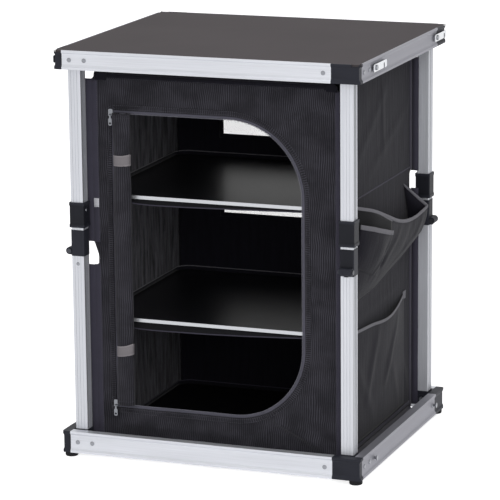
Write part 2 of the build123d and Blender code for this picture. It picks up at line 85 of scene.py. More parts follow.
# Knee notches of the upright edges, as (inward, height) points
FRONT_NOTCH = ((0.0, 370.0), (8.0, 370.0), (8.5, 388.0), (4.0, 401.0), (0.0, 413.0))
SIDE_NOTCH = ((0.0, 360.0), (20.0, 360.0), (20.0, 385.0), (10.0, 400.0), (0.0, 411.0))
REAR_NOTCH = ((0.0, 464.0), (12.0, 468.0), (12.0, 500.0), (0.0, 503.0))

# Sewn corner flanges: lower and upper end of the gap at the knee, and how far they stand out
FLANGES = {
    "front left": (369.0, 414.0, 15.0), "front right": (369.0, 414.0, 5.5),
    "back right": (466.0, 501.0, 15.0), "back left": (466.0, 501.0, 5.5),
}

# Flat skirt below a side wall: its ends along Y, its reach, and its section as (share of the
# reach, height) points
SKIRT_ENDS = (-206.0, 198.0)
SKIRT_REACH = 33.0
SKIRT_SECTION = ((0, 26.5), (1, 25.5), (1, 24.3), (0, 25.0))

# Top corners of the panels, as (inward, height) points
TOP_CORNER = ((0.0, 725.5), (9.0, 727.0), (9.0, 733.0), (19.0, 741.0), (29.0, 738.0))

# The small tabs sewn over the front panel's top corners: outline, middle, and the share of the
# outline that their raised middle keeps
TAB_SHAPE = ((239.0, 724.0), (239.0, 734.0), (229.0, 742.0), (217.0, 739.0), (217.0, 724.0))
TAB_MIDDLE = (228.0, 732.0)
TAB_TOP_SHARE = 0.9

# Heights of the hems, of the stitches in them, and of the seam above the bellows pocket
TOP_HEM, TOP_BEAD, TOP_STITCHES = 731.5, 737.5, 728.5
FRONT_LOW_HEM, FRONT_LOW_STITCHES = 31.0, 34.0
SIDE_LOW_HEM, SIDE_LOW_STITCHES = 32.0, 34.6
BACK_LOW_HEM = 32.0
POCKET_SEAM = 509.5

# Door opening: its sides, and the radii of its upper and lower curve
DOOR_LEFT, DOOR_RIGHT, DOOR_TOP, DOOR_BOTTOM = -203.0, 171.0, 664.0, 97.0
DOOR_CURVES = (145.0, 137.0)

# Vents as (left, right, bottom, top), and the pitch and half width of their threads
VENTS = ((-148.0, 148.0, 390.0, 470.0), (-148.0, 148.0, 551.0, 640.0))
VENT_PITCH = 1.7
VENT_THREAD = 0.2

# Heights where a board holds the walls flat
LEVELS = (
    (CLOTH_LOW, FLOOR_TOP),
    (SHELF_BOXES["lower"][0][2], SHELF_BOXES["lower"][1][2]),
    (SHELF_BOXES["upper"][0][2], SHELF_BOXES["upper"][1][2]),
    (CLOTH_HIGH - 6.0, CLOTH_HIGH),
)

# The bellows pocket on the right wall: place along Y, reach of the rim, heights of the rim and of
# the low edge; then how its reach falls off from the rim down
BELLOWS = (
    (-172.0, 8.0, 506.0, 318.0),
    (-110.0, 27.0, 489.0, 316.0),
    (-40.0, 35.0, 464.0, 318.0),
    (0.0, 36.0, 450.0, 322.0),
    (40.0, 36.0, 439.5, 328.0),
    (85.0, 36.0, 432.5, 334.0),
    (130.0, 36.0, 430.5, 340.0),
    (204.0, 36.0, 436.0, 352.0),
)
BELLOWS_PROFILE = ((0.0, 1.0), (0.2, 0.97), (0.38, 0.89), (0.62, 0.66), (0.86, 0.28), (1.0, 0.01))

# The gussets at its ends: share along the pocket, name, (Y, height) of the top at the wall, depth
# of the pleat. A gusset without a top of its own ends at this height
GUSSETS = ((0.0, "front", None, 2.0), (1.0, "rear", (158.0, 485.0), -7.0))
GUSSET_TOP = 509.0

# Creases of the pockets: (a0, b0, a1, b1, width, height)
POCKET_CREASES = (
    (-30.0, 426.0, -84.0, 352.0, 6.0, 2.4),
    (34.0, 428.0, -70.0, 340.0, 8.0, 2.2),
    (150.0, 392.0, 24.0, 346.0, 7.0, 2.4),
    (-60.0, 412.0, -40.0, 345.0, 9.0, -1.6),
    (110.0, 424.0, 70.0, 372.0, 12.0, -1.4),
    (180.0, 428.0, 120.0, 360.0, 9.0, 1.6),
)

# The small pocket: place along Y, reach and height of its slack rim, then of its seam on the face
SMALL_POCKET = (
    (-168.0, 21.0, 471.0, 9.0, 502.0),
    (-150.0, 28.5, 465.6, 15.0, 497.5),
    (-130.0, 34.5, 460.0, 20.5, 492.0),
    (-110.0, 38.5, 453.8, 26.5, 486.0),
    (-80.0, 41.5, 445.5, 30.0, 474.0),
    (-48.0, 41.0, 437.0, 34.0, 460.2),
    (-26.0, 38.5, 432.0, 36.0, 451.2),
)
SMALL_POCKET_DEPTH = 82.0

# The flat pocket: place along Y, height and reach of its rim; then how its reach falls off
FLAT_POCKET = (
    (-170.0, 262.0, 3.0),
    (-60.0, 257.5, 9.0),
    (0.0, 252.0, 12.5),
    (40.0, 252.5, 14.0),
    (80.0, 257.0, 13.0),
    (115.0, 259.5, 9.0),
    (140.0, 262.0, 5.0),
    (158.0, 266.0, 2.0),
)
FLAT_CREASES = (
    (96.0, 246.0, 20.0, 120.0, 10.0, 3.0),
    (-30.0, 240.0, -80.0, 110.0, 12.0, 2.4),
    (60.0, 150.0, 120.0, 60.0, 12.0, 1.8),
    (-150.0, 200.0, -40.0, 70.0, 14.0, 2.0),
)
FLAT_PROFILE = ((0.0, 1.0), (0.2, 0.82), (0.44, 0.55), (0.75, 0.3), (1.0, 0.08))
FLAT_LOW = 40.0
FLAT_PATCH = ((150.0, 262.0), (168.0, 262.0))
FLAT_STITCHES = (
    (((-170.0, 44.0), (158.0, 44.0)), 1.6),
    (((-168.5, 46.0), (-168.5, 250.0)), 1.8),
    (((156.0, 46.0), (156.0, 262.0)), 1.8),
)
WALL_GAP = 0.5

# How far each shelf's cloth lip hangs: place along X, drop of its low edge
LIP_DROPS = {
    "upper": (
        (-243.0, 2.0), (-205.0, 4.0), (-165.0, 11.0), (-100.0, 12.0), (0.0, 10.0), (100.0, 7.5),
        (171.0, 5.5), (243.0, 2.5),
    ),
    "lower": (
        (-243.0, 5.0), (-205.0, 9.0), (-165.0, 15.5), (-60.0, 15.5), (40.0, 13.0), (171.0, 7.0),
        (243.0, 3.0),
    ),
}

# The bound edges that stand round the boards: their inset on the shelves and on the floor board,
# the front end of the floor board's, and the sink, rise, thickness and corner radius of them all
SHELF_EDGE_INSET, FLOOR_EDGE_INSET = 2.4, 1.6
FLOOR_EDGE_FRONT = -190.0
EDGE_SINK, EDGE_RISE, EDGE_THICKNESS, EDGE_CORNER = 0.2, 8.0, 1.0, 26.0

# Rivet heads: (radius, height) profile, their heights below the knee and above a sleeve's lower
# end, and how deep they sit in a sleeve
RIVET_PROFILE = ((0.2, -0.6), (3.4, -0.6), (3.4, 0.2), (3.0, 0.9), (1.9, 1.35), (0.6, 1.5))
RIVET_BELOW_KNEE = 15.0
RIVET_ON_SLEEVE = 33.0
RIVET_SINK = 0.75

# The webbing tie beside the front left knee
KNEE_TIE = ((-240.5, 481.0), (-240.5, 498.0))

# Stitches: their pitch in lengths, the share of it that the thread covers, width and height
STITCH_PITCH = 1.45
STITCH_SHARE = 0.5 / 1.45 * 1.38
STITCH_WIDTH, STITCH_HEIGHT = 0.7, 0.45

# Height of a row of triangles in a cut sheet, in pitches
TRIANGLE_HEIGHT = 0.866

# Lights in metres, and the point that they shine at
KEY_LIGHT_PLACE, KEY_LIGHT_SIZE = (1.75, -3.4, 1.8), 2.2
TOP_LIGHT_PLACE, TOP_LIGHT_SIZE = (0.2, -0.4, 3.2), 2.0
LIGHT_AIM = (0.0, 0.0, 0.38)

# The camera: its place in metres, its turns in degrees, and its focal length in widths of the frame
CAMERA_PLACE = (1.91257, -5.10152, 1.60758)
CAMERA_AZIMUTH, CAMERA_ELEVATION, CAMERA_ROLL = 20.68, 12.81, -0.55
CAMERA_SENSOR = 36.0
CAMERA_FOCAL = 2890.28 / 500


def tone(red, green, blue):
    """A colour given from 0 to 255 as it looks, made linear."""
    values = []
    for value in (red, green, blue):
        share = value / 255
        values.append(share / 12.92 if share <= 0.04045 else ((share + 0.055) / 1.055) ** 2.4)
    return tuple(values)


def colour_property(name, description, value):
    return FloatVectorProperty(
        name=name, description=description, subtype="COLOR", size=3, min=0.0, max=1.0,
        default=tone(*value),
    )


def length_property(name, description, millimetres):
    return FloatProperty(
        name=name, description=description, subtype="DISTANCE", unit="LENGTH",
        min=0.0, default=millimetres * MM, precision=5,
    )


class CUPBOARD_PG_cloth(bpy.types.PropertyGroup):
    """Sizes and colours of the cloth body."""

    thickness: length_property("Cloth thickness", "Thickness of the body cloth", 0.8)
    rib_pitch: length_property("Rib pitch", "Distance from rib to rib of the front cloth", 4.0)
    band_width: length_property("Edge band", "Width of the bound edges of the panels", 12.0)
    binding_width: length_property("Door binding", "Width of the binding round the door", 5.0)
    stitch_length: length_property("Stitch", "Length of one stitch", 2.6)
    pleat_depth: length_property("Pleats", "Depth of the loose folds in the side walls", 3.0)
    body_colour: colour_property("Body cloth", "Colour of the ribbed front cloth", (52, 51, 57))
    side_colour: colour_property("Side cloth", "Colour of the smooth side cloth", (27, 26, 34))
    band_colour: colour_property("Edge bands", "Colour of the bound edges", (68, 66, 78))
    binding_colour: colour_property("Door binding", "Colour of the door's binding", (92, 91, 102))
    # The lining is the side cloth made much lighter: painted light on the shaded inside of the
    # walls
    lining_colour: colour_property("Lining", "Colour of the side walls inside", (84, 83, 90))
    pocket_trim: colour_property("Pocket trim", "Colour of the pocket rims", (122, 121, 127))
    webbing_colour: colour_property("Webbing", "Colour of the strap webbing", (138, 133, 136))
    mesh_colour: colour_property("Vent mesh", "Colour of the vent threads", (40, 40, 44))
    thread_colour: colour_property("Thread", "Colour of the stitching", (92, 91, 98))


class CUPBOARD_PG_metal(bpy.types.PropertyGroup):
    """Colours of the frame, the boards and the fittings."""

    aluminium: colour_property("Aluminium", "Colour of the drawn aluminium", (216, 218, 224))
    # The side rails are the same aluminium, a little rougher, with a darker colour that is painted
    # shade
    side_rails: colour_property("Side rails", "Colour of the duller side rails", (150, 150, 158))
    plastic: colour_property("Plastic", "Colour of the moulded corners and joints", (31, 32, 38))
    table: colour_property("Table board", "Colour of the table top", (78, 73, 75))
    laminate: colour_property("Shelf board", "Colour of the shelf laminate", (14, 14, 17))
    steel: colour_property("Steel", "Colour of rivets and studs", (140, 142, 147))
    zip_metal: colour_property("Zip metal", "Colour of the zip sliders and pulls", (124, 126, 131))


class CUPBOARD_PG_roll(bpy.types.PropertyGroup):
    """Sizes of the rolled door and its straps."""

    door_width: length_property("Door width", "Width of the door cloth before it is rolled", 374.0)
    inner_share: FloatProperty(
        name="Core", description="Size of the innermost turn, as a share of the outermost",
        default=0.14, min=0.05, max=0.9, subtype="FACTOR",
    )
    steps: IntProperty(
        name="Steps", description="Points along the rolled cloth", default=230, min=40,
    )
    strap_height: length_property("Strap height", "Width of the strap webbing", 20.0)
    strap_thickness: length_property("Strap thickness", "Thickness of the strap webbing", 1.1)


class CUPBOARD_PG_stage(bpy.types.PropertyGroup):
    """Floor, light and background."""

    floor_radius: FloatProperty(
        name="Floor", description="Half the width of the floor", default=30.0, min=1.0,
        subtype="DISTANCE", unit="LENGTH",
    )
    key_power: FloatProperty(
        name="Key light", description="Power of the large soft light at the front right",
        default=35.0, min=0.0, unit="POWER",
    )
    top_power: FloatProperty(
        name="Top light", description="Power of the soft light above", default=17.0, min=0.0,
        unit="POWER",
    )
    room_light: FloatProperty(
        name="Room light", description="Strength of the even light from all sides",
        default=0.5, min=0.0,
    )
    floor_colour: colour_property("Floor colour", "Colour of the floor", (240, 240, 242))


# Mesh helpers, all in millimetres

def add_piece(name, points, faces, finish, weave, smooth=True):
    """Make an object from points, faces and cloth coordinates."""
    mesh = bpy.data.meshes.new(name)
    scaled = (np.asarray(points, float) * MM).tolist()
    mesh.from_pydata(scaled, [], [tuple(int(i) for i in face) for face in faces])
    mesh.validate()
    if smooth:
        mesh.shade_smooth()
    attribute = mesh.attributes.new("weave", "FLOAT_VECTOR", "POINT")
    flat = np.zeros((len(points), 3), np.float32)
    flat[:, :2] = np.asarray(weave, np.float32)
    attribute.data.foreach_set("vector", flat.ravel())
    mesh.materials.append(finish_named(finish))
    piece = bpy.data.objects.new(name, mesh)
    bpy.context.scene.collection.objects.link(piece)
    return piece


def thicken(piece, thickness, offset=-1.0):
    """Give a sheet its thickness, on the inner side by default."""
    solid = piece.modifiers.new("Thickness", "SOLIDIFY")
    solid.thickness = thickness
    solid.offset = offset
    solid.use_rim = True
    solid.use_quality_normals = True
    graph = bpy.context.evaluated_depsgraph_get()
    made = bpy.data.meshes.new_from_object(
        piece.evaluated_get(graph), preserve_all_data_layers=True, depsgraph=graph
    )
    piece.modifiers.clear()
    piece.data = made
    return piece


def set_in_place(piece, body, nodes=(), folds=True, anchor=CLOTH_LOW):
    """Fix a piece to its body, give it a mesh of its own when folds is set, and hide the frame
    parts that it stands for.
    """
    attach(piece, body)
    if folds:
        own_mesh(piece)
    if nodes:
        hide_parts(*nodes)


class Batch:
    """Gathers many small forms into one piece."""

    def __init__(self):
        self.points, self.faces, self.weave = [], [], []

    def add(self, points, faces, weave=None):
        start = len(self.points)
        if weave is None:
            weave = [(0, 0)] * len(points)
        self.points += [tuple(point) for point in points]
        self.faces += [tuple(start + i for i in face) for face in faces]
        self.weave += [tuple(place[:2]) for place in weave]

    def piece(self, name, finish, smooth=True):
        return add_piece(name, self.points, self.faces, finish, self.weave, smooth)


def sewn(name, finish, *strips):
    """One piece joined from several swept strips."""
    batch = Batch()
    for strip in strips:
        batch.add(*strip)
    return batch.piece(name, finish)


def grid_faces(rows, columns, wrap=False):
    """Faces of a grid whose points run column by column within each row."""
    faces = []
    for i in range(rows - 1):
        here, ahead = i * columns, (i + 1) * columns
        for j in range(columns if wrap else columns - 1):
            k = (j + 1) % columns
            faces.append((here + j, here + k, ahead + k, ahead + j))
    return faces


def surface(rows, columns, place):
    """Points, faces and cloth coordinates of a sheet from place(u, v), u and v from 0 to 1."""
    points = [place(i / (rows - 1), j / (columns - 1)) for i in range(rows) for j in range(columns)]
    grid = np.array(points).reshape(rows, columns, 3)
    along = np.zeros((rows, columns))
    across = np.zeros((rows, columns))
    along[1:] = np.cumsum(np.linalg.norm(np.diff(grid, axis=0), axis=2), axis=0)
    across[:, 1:] = np.cumsum(np.linalg.norm(np.diff(grid, axis=1), axis=2), axis=1)
    weave = np.stack([along.ravel(), across.ravel()], axis=1)
    return points, grid_faces(rows, columns), weave


def cloth_sheet(name, rows, columns, place, finish, thickness, offset=0.0):
    """A thick sheet of cloth from place(u, v)."""
    points, faces, weave = surface(rows, columns, place)
    return thicken(add_piece(name, points, faces, finish, weave), thickness, offset)


def spaced(points, pitch, closed=False):
    """Points along a line at an even pitch."""
    line = np.array(list(points) + ([points[0]] if closed else []), float)
    steps = np.linalg.norm(np.diff(line, axis=0), axis=1)
    distance = np.concatenate([[0.0], np.cumsum(steps)])
    count = max(2, int(round(distance[-1] / pitch)) + 1)
    wanted = np.linspace(0, distance[-1], count)
    result = np.stack([np.interp(wanted, distance, column) for column in line.T], axis=1)
    return result[:-1] if closed else result


def table_value(table, place, column):
    """A smooth curve through one column of a table of stations."""
    places = [row[0] for row in table]
    values = [row[column] for row in table]
    place = min(max(place, places[0]), places[-1])
    i = max(0, min(len(places) - 2, int(np.searchsorted(places, place)) - 1))
    span = places[i + 1] - places[i]
    share = (place - places[i]) / span

    def slope(k):
        if 0 < k < len(places) - 1:
            return (values[k + 1] - values[k - 1]) / (places[k + 1] - places[k - 1])
        k = min(max(k, 1), len(places) - 1)
        return (values[k] - values[k - 1]) / (places[k] - places[k - 1])

    s2, s3 = share * share, share**3
    return (
        (2 * s3 - 3 * s2 + 1) * values[i] + (s3 - 2 * s2 + share) * span * slope(i)
        + (3 * s2 - 2 * s3) * values[i + 1] + (s3 - s2) * span * slope(i + 1)
    )


def inside(points, polygon):
    """Which 2-D points lie inside a polygon."""
    x, y = points[:, 0], points[:, 1]
    found = np.zeros(len(points), bool)
    corners = np.asarray(polygon, float)
    for (x0, y0), (x1, y1) in zip(corners, np.roll(corners, -1, axis=0)):
        crosses = (y0 > y) != (y1 > y)
        if y1 != y0:
            found ^= crosses & (x < (x1 - x0) * (y - y0) / (y1 - y0) + x0)
    return found


def clear_of(points, polygon, distance):
    """Which 2-D points keep a distance from a polygon's edges."""
    keep = np.ones(len(points), bool)
    corners = np.asarray(polygon, float)
    for a, b in zip(corners, np.roll(corners, -1, axis=0)):
        edge = b - a
        length = edge @ edge
        if length == 0:
            continue
        share = np.clip(((points - a) @ edge) / length, 0, 1)
        near = a + share[:, None] * edge
        keep &= np.linalg.norm(points - near, axis=1) > distance
    return keep


def cut_sheet(outline, holes, pitch, at):
    """A sheet cut to an outline with holes, in small triangles set in place by at(a, b, out)."""
    loops = [spaced(line, pitch, closed=True) for line in [outline, *holes]]
    low, high = np.min(loops[0], axis=0), np.max(loops[0], axis=0)
    rows = int((high[1] - low[1]) / (pitch * TRIANGLE_HEIGHT)) + 1
    columns = int((high[0] - low[0]) / pitch) + 1
    inner = np.array([
        (low[0] + (i + 0.5 * (j % 2)) * pitch, low[1] + (j + 0.5) * pitch * TRIANGLE_HEIGHT)
        for j in range(rows) for i in range(columns)
    ])
    inner = inner[inside(inner, loops[0])]
    for hole in loops[1:]:
        inner = inner[~inside(inner, hole)]
    for loop in loops:
        inner = inner[clear_of(inner, loop, pitch * 0.45)]
    flat, edges = [], []
    for loop in loops:
        start = len(flat)
        flat += [tuple(p) for p in loop]
        edges += [(start + i, start + (i + 1) % len(loop)) for i in range(len(loop))]
    flat += [tuple(p) for p in inner]
    made = delaunay_2d_cdt([Vector(p) for p in flat], edges, [], 0, 1e-5)
    places = np.array([tuple(p) for p in made[0]])
    faces = np.array([tuple(f) for f in made[2]])
    middle = places[faces].mean(axis=1)
    keep = inside(middle, loops[0])
    for hole in loops[1:]:
        keep &= ~inside(middle, hole)
    faces = faces[keep]
    used = np.unique(faces)
    new_index = -np.ones(len(places), int)
    new_index[used] = np.arange(len(used))
    places = places[used]
    return [at(a, b, 0.0) for a, b in places], new_index[faces], places


def sweep(points, across, out, section, closed=False):
    """A strip that carries a section of (across, out) points along a line."""
    made, weave = [], []
    distance = 0.0
    before = np.asarray(points[0])
    for point, side, up in zip(points, across, out):
        point, side, up = np.asarray(point), np.asarray(side), np.asarray(up)
        distance += float(np.linalg.norm(point - before))
        before = point
        for s, n in section:
            made.append(point + side * s + up * n)
            weave.append((distance, s))
    size = len(section)
    count = len(points)
    faces = grid_faces(count, size, wrap=True)
    if closed:
        last = (count - 1) * size
        faces += [
            (last + j, last + (j + 1) % size, (j + 1) % size, j) for j in range(size)
        ]
    else:
        faces.append(tuple(reversed(range(size))))
        faces.append(tuple((count - 1) * size + j for j in range(size)))
    return made, faces, weave


def strip_section(width, thickness, shift=0.0, lift=0.0):
    """The section of a flat band with rounded edges."""
    half, edge = width / 2, min(width / 2, thickness) * 0.5
    return [
        (shift + half, lift), (shift + half, lift + thickness * 0.6),
        (shift + half - edge, lift + thickness), (shift - half + edge, lift + thickness),
        (shift - half, lift + thickness * 0.6), (shift - half, lift),
    ]


def round_section(radius, lift=0.0, sides=8):
    """The section of a round bead."""
    turns = [2 * math.pi * k / sides for k in range(sides)]
    return [(radius * math.cos(turn), lift + radius * math.sin(turn)) for turn in turns]


def flat_normals(path, closed):
    """Left-hand normals of a 2-D path, lengthened at its corners."""
    path = np.asarray(path, float)
    if closed:
        ahead, behind = np.roll(path, -1, axis=0) - path, path - np.roll(path, 1, axis=0)
    else:
        steps = np.diff(path, axis=0)
        ahead = np.vstack([steps, steps[-1:]])
        behind = np.vstack([steps[:1], steps])
    ahead /= np.linalg.norm(ahead, axis=1)[:, None] + 1e-9
    behind /= np.linalg.norm(behind, axis=1)[:, None] + 1e-9
    middle = ahead + behind
    middle /= np.linalg.norm(middle, axis=1)[:, None] + 1e-9
    reach = 1 / np.clip((middle * ahead).sum(axis=1), 0.6, 1)
    return np.stack([-middle[:, 1], middle[:, 0]], axis=1) * reach[:, None]


def on_panel(path, at, section, closed=False, pitch=6.0):
    """A strip that follows a 2-D path on a panel."""
    path = spaced(path, pitch, closed)
    normals = flat_normals(path, closed)
    points = [np.array(at(a, b, 0.0)) for a, b in path]
    across = [
        np.array(at(a + n[0], b + n[1], 0.0)) - p for (a, b), n, p in zip(path, normals, points)
    ]
    out = [np.array(at(a, b, 1.0)) - p for (a, b), p in zip(path, points)]
    return sweep(points, across, out, section, closed)


def stitch_row(batch, path, at, length, shift=0.0, lift=0.0, closed=False):
    """A row of stitches along a 2-D path on a panel."""
    path = spaced(path, length * STITCH_PITCH, closed)
    normals = flat_normals(path, closed)
    for i in range(len(path) - 1):
        a, b = path[i] + normals[i] * shift, path[i + 1] + normals[i + 1] * shift
        start = np.array(at(*a, lift))
        end = np.array(at(*(a + (b - a) * 2 * STITCH_SHARE), lift))
        up = np.array(at(*a, lift + 1.0)) - start
        along = end - start
        side = np.cross(up, along)
        side /= np.linalg.norm(side) + 1e-9
        middle = (start + end) / 2
        batch.add(
            [
                start, end, middle + side * STITCH_WIDTH / 2, middle - side * STITCH_WIDTH / 2,
                middle + up * STITCH_HEIGHT,
            ],
            [(0, 2, 4), (2, 1, 4), (1, 3, 4), (3, 0, 4), (0, 3, 2), (1, 2, 3)],
        )


def lathe(profile, centre, axis, sides=20):
    """A turned form from (radius, height) points about an axis."""
    axis = Vector(axis).normalized()
    first = axis.orthogonal().normalized()
    second = axis.cross(first)
    points = []
    for radius, height in profile:
        for k in range(sides):
            turn = 2 * math.pi * k / sides
            spoke = first * math.cos(turn) + second * math.sin(turn)
            points.append(tuple(Vector(centre) + axis * height + spoke * radius))
    faces = grid_faces(len(profile), sides, wrap=True)
    faces.append(tuple(reversed(range(sides))))
    faces.append(tuple((len(profile) - 1) * sides + k for k in range(sides)))
    return points, faces


# Folds in the cloth

def hold(height):
    """How loose a side wall is at a height: 0 on the boards, 1 halfway between them."""
    for (_, low), (high, _) in zip(LEVELS, LEVELS[1:]):
        if low < height < high:
            share = (height - low) / (high - low)
            return math.sin(math.pi * share) ** 0.7
    return 0.0


def soft(a, b, scale, seed):
    """Smooth random waves from -1 to 1."""
    return noise.noise(Vector((a * scale, b * scale, seed)))


def ridge(a, b, crease):
    """Height of one crease (a0, b0, a1, b1, width, height) at a point."""
    a0, b0, a1, b1, width, height = crease
    da, db = a1 - a0, b1 - b0
    share = ((a - a0) * da + (b - b0) * db) / (da * da + db * db)
    inner = min(max(share, 0.0), 1.0)
    distance = math.hypot(a - a0 - da * inner, b - b0 - db * inner)
    fade = math.sin(math.pi * min(max(inner * 0.9 + 0.05, 0), 1)) ** 0.6
    return height * fade * math.exp(-((distance / width) ** 2))


# Creases: (a0, b0, a1, b1, width, height), and how much deeper the front panel's are than written
CREASE_SCALE = 3.4
FRONT_CREASES = (
    (60.0, 40.0, 190.0, 150.0, 10.0, 1.2),
    (178.0, 560.0, 236.0, 690.0, 12.0, 1.2),
    (184.0, 420.0, 236.0, 540.0, 12.0, 1.0),
    (-232.0, 470.0, -212.0, 700.0, 7.0, 1.0),
    (80.0, 124.0, 232.0, 34.0, 9.0, 2.4),
    (110.0, 96.0, 236.0, 52.0, 6.0, 1.4),
    (-190.0, 62.0, 60.0, 58.0, 10.0, 1.6),
    (-236.0, 40.0, -120.0, 88.0, 9.0, 1.3),
    (186.0, 480.0, 205.0, 640.0, 8.0, 1.0),
    (190.0, 200.0, 214.0, 330.0, 9.0, 1.1),
    (-228.0, 150.0, -222.0, 330.0, 6.0, 0.8),
    (120.0, 650.0, 230.0, 715.0, 9.0, 1.2),
    (-210.0, 676.0, -120.0, 716.0, 8.0, 0.9),
)
RIGHT_CREASES = (
    (-150.0, 560.0, 60.0, 700.0, 14.0, 1.6),
    (-60.0, 540.0, 190.0, 640.0, 12.0, 1.4),
    (20.0, 720.0, 40.0, 560.0, 10.0, 1.3),
    (-170.0, 60.0, 100.0, 160.0, 12.0, 1.4),
    (-140.0, 280.0, 130.0, 290.0, 8.0, 1.2),
    (120.0, 190.0, 190.0, 60.0, 10.0, 1.5),
)
BACK_CREASES = (
    (-200.0, 60.0, 60.0, 130.0, 12.0, 1.5),
    (-60.0, 520.0, 200.0, 505.0, 9.0, 1.2),
    (-220.0, 680.0, 120.0, 700.0, 10.0, 1.4),
)


def edge_fade(a, half):
    """Folds fade out towards a panel's upright edges."""
    return min(1.0, max(0.0, (half - abs(a)) / 18.0))


# Places on the panels: a runs along the panel, b is the height, out leads away from the cloth

def at_front(a, b, out):
    lift = CREASE_SCALE * sum(ridge(a, b, crease) for crease in FRONT_CREASES)
    lift += 0.9 * soft(a, b, 0.011, 3.0) + 0.35 * soft(a, b, 0.035, 8.0)
    lift *= edge_fade(a, HALF_X)
    return (a, -HALF_Y - max(lift, -1.2) - out, b)


def pleats(a, b, depth, seed):
    """Upright loose folds of a side wall, always inward, sharp at their crests and uneven."""
    bend = a + 10.0 * soft(a, b * 0.5, 0.012, seed)
    broad = 1 - abs(soft(bend, b * 0.08, 0.042, seed + 4.0)) * 2.1
    fine = 1 - abs(soft(bend, b * 0.12, 0.115, seed + 9.0)) * 2.1
    strength = 0.35 + 1.3 * abs(soft(a, b, 0.012, seed + 17.0))
    wave = max(0.0, 0.7 * broad + 0.3 * fine) ** 1.6
    return depth * strength * hold(b) * edge_fade(a, HALF_Y) * wave


def pleat_depth():
    return bpy.context.scene.cupboard_cloth.pleat_depth / MM


def at_left(a, b, out):
    return (-HALF_X + pleats(a, b, pleat_depth(), 21.0) - out, a, b)


def at_right(a, b, out):
    lift = sum(ridge(a, b, crease) for crease in RIGHT_CREASES) * edge_fade(a, HALF_Y)
    lift -= 0.22 * pleats(a, b, pleat_depth(), 47.0)
    return (HALF_X + lift + out, a, b)


def at_back(a, b, out):
    lift = sum(ridge(a, b, crease) for crease in BACK_CREASES) + 0.8 * soft(a, b, 0.012, 61.0)
    return (a, HALF_Y + lift * edge_fade(a, HALF_X) + out, b)


def panel_outline(half, notches):
    """A panel's outline: the notches of its left and right upright edges, and cut top corners."""
    sides = []
    for sign, notch in zip((-1, 1), notches):
        side = [(sign * half, CLOTH_LOW)]
        side += [(sign * (half - inward), height) for inward, height in (*notch, *TOP_CORNER)]
        sides.append(side + [(sign * (half - TOP_CORNER[-1][0]), CLOTH_HIGH)])
    return sides[1] + sides[0][::-1]


def door_line():
    """The door opening from its lower left corner up, round and back."""
    high, low = DOOR_CURVES
    line = [(DOOR_LEFT, DOOR_BOTTOM), (DOOR_LEFT, DOOR_TOP)]
    upper = [math.pi / 2 * (1 - k / 24) for k in range(25)]
    lower = [-math.pi / 2 * k / 24 for k in range(25)]
    for radius, middle, turns in ((high, DOOR_TOP - high, upper), (low, DOOR_BOTTOM + low, lower)):
        for turn in turns:
            line.append((
                DOOR_RIGHT - radius + radius * math.cos(turn), middle + radius * math.sin(turn),
            ))
    return line


def rectangle(box):
    a0, a1, b0, b1 = box
    return [(a0, b0), (a1, b0), (a1, b1), (a0, b1)]


# Finishes

class Finish:
    """A material with helpers that add and join its nodes."""

    made = {}

    def __init__(self, name, colour, roughness, metallic=0.0, **sockets):
        self.material = bpy.data.materials.new(name)
        self.material.use_nodes = True
        self.tree = self.material.node_tree
        self.shader = self.tree.nodes["Principled BSDF"]
        self.shader.inputs["Base Color"].default_value = (*colour, 1.0)
        self.shader.inputs["Roughness"].default_value = roughness
        self.shader.inputs["Metallic"].default_value = metallic
        for key, value in sockets.items():
            self.shader.inputs[key.replace("_", " ")].default_value = value
        self.colour = tuple(colour)
        Finish.made[name] = self.material

    def node(self, kind, inputs=(), **settings):
        made = self.tree.nodes.new(kind)
        for key, value in settings.items():
            setattr(made, key, value)
        for key, value in dict(inputs).items():
            if isinstance(value, bpy.types.NodeSocket):
                self.tree.links.new(value, made.inputs[key])
            else:
                made.inputs[key].default_value = value
        return made

    def weave(self):
        """Cloth coordinates in millimetres."""
        return self.node("ShaderNodeAttribute", attribute_name="weave").outputs["Vector"]

    def place(self, scale=(1.0, 1.0, 1.0)):
        """Object coordinates, stretched."""
        return self.stretched(self.node("ShaderNodeTexCoord").outputs["Object"], scale)

    def stretched(self, vector, scale):
        return self.node("ShaderNodeMapping", {"Vector": vector, "Scale": scale}).outputs[0]

    def noise(self, vector, scale, detail=3.0, roughness=0.5):
        return self.node(
            "ShaderNodeTexNoise",
            {"Vector": vector, "Scale": scale, "Detail": detail, "Roughness": roughness},
        ).outputs["Fac"]

    def math(self, operation, first, second=0.0):
        return self.node("ShaderNodeMath", {0: first, 1: second}, operation=operation).outputs[0]

    def range(self, value, low, high, new_low=0.0, new_high=1.0):
        return self.node("ShaderNodeMapRange", {
            "Value": value, "From Min": low, "From Max": high,
            "To Min": new_low, "To Max": new_high,
        }).outputs[0]

    def wave(self, value, pitch):
        """A wave from 0 to 1 along a value in millimetres."""
        turns = self.math("MULTIPLY", value, 2 * math.pi / pitch)
        return self.range(self.math("SINE", turns), -1.0, 1.0)

    def part(self, vector, axis):
        return self.node("ShaderNodeSeparateXYZ", {0: vector}).outputs[axis]

    def mix(self, factor, first, second):
        made = self.node("ShaderNodeMix", data_type="RGBA")
        for index, value in ((0, factor), (6, first), (7, second)):
            if isinstance(value, bpy.types.NodeSocket):
                self.tree.links.new(value, made.inputs[index])
            elif index == 0:
                made.inputs[0].default_value = value
            else:
                made.inputs[index].default_value = (*value, 1.0)
        return made.outputs[2]

    def toned(self, share):
        """The finish's colour, darker or lighter."""
        return tuple(min(1.0, value * share) for value in self.colour)

    def shaded(self, factor, low, high):
        """The finish's colour, from its darker to its lighter tone by a factor from 0 to 1."""
        return self.mix(factor, self.toned(low), self.toned(high))

    def set(self, socket, value):
        self.tree.links.new(value, self.shader.inputs[socket])

    def bump(self, height, strength, distance, under=None):
        inputs = {"Height": height, "Strength": strength, "Distance": distance * MM}
        if under is not None:
            inputs["Normal"] = under
        return self.node("ShaderNodeBump", inputs).outputs["Normal"]


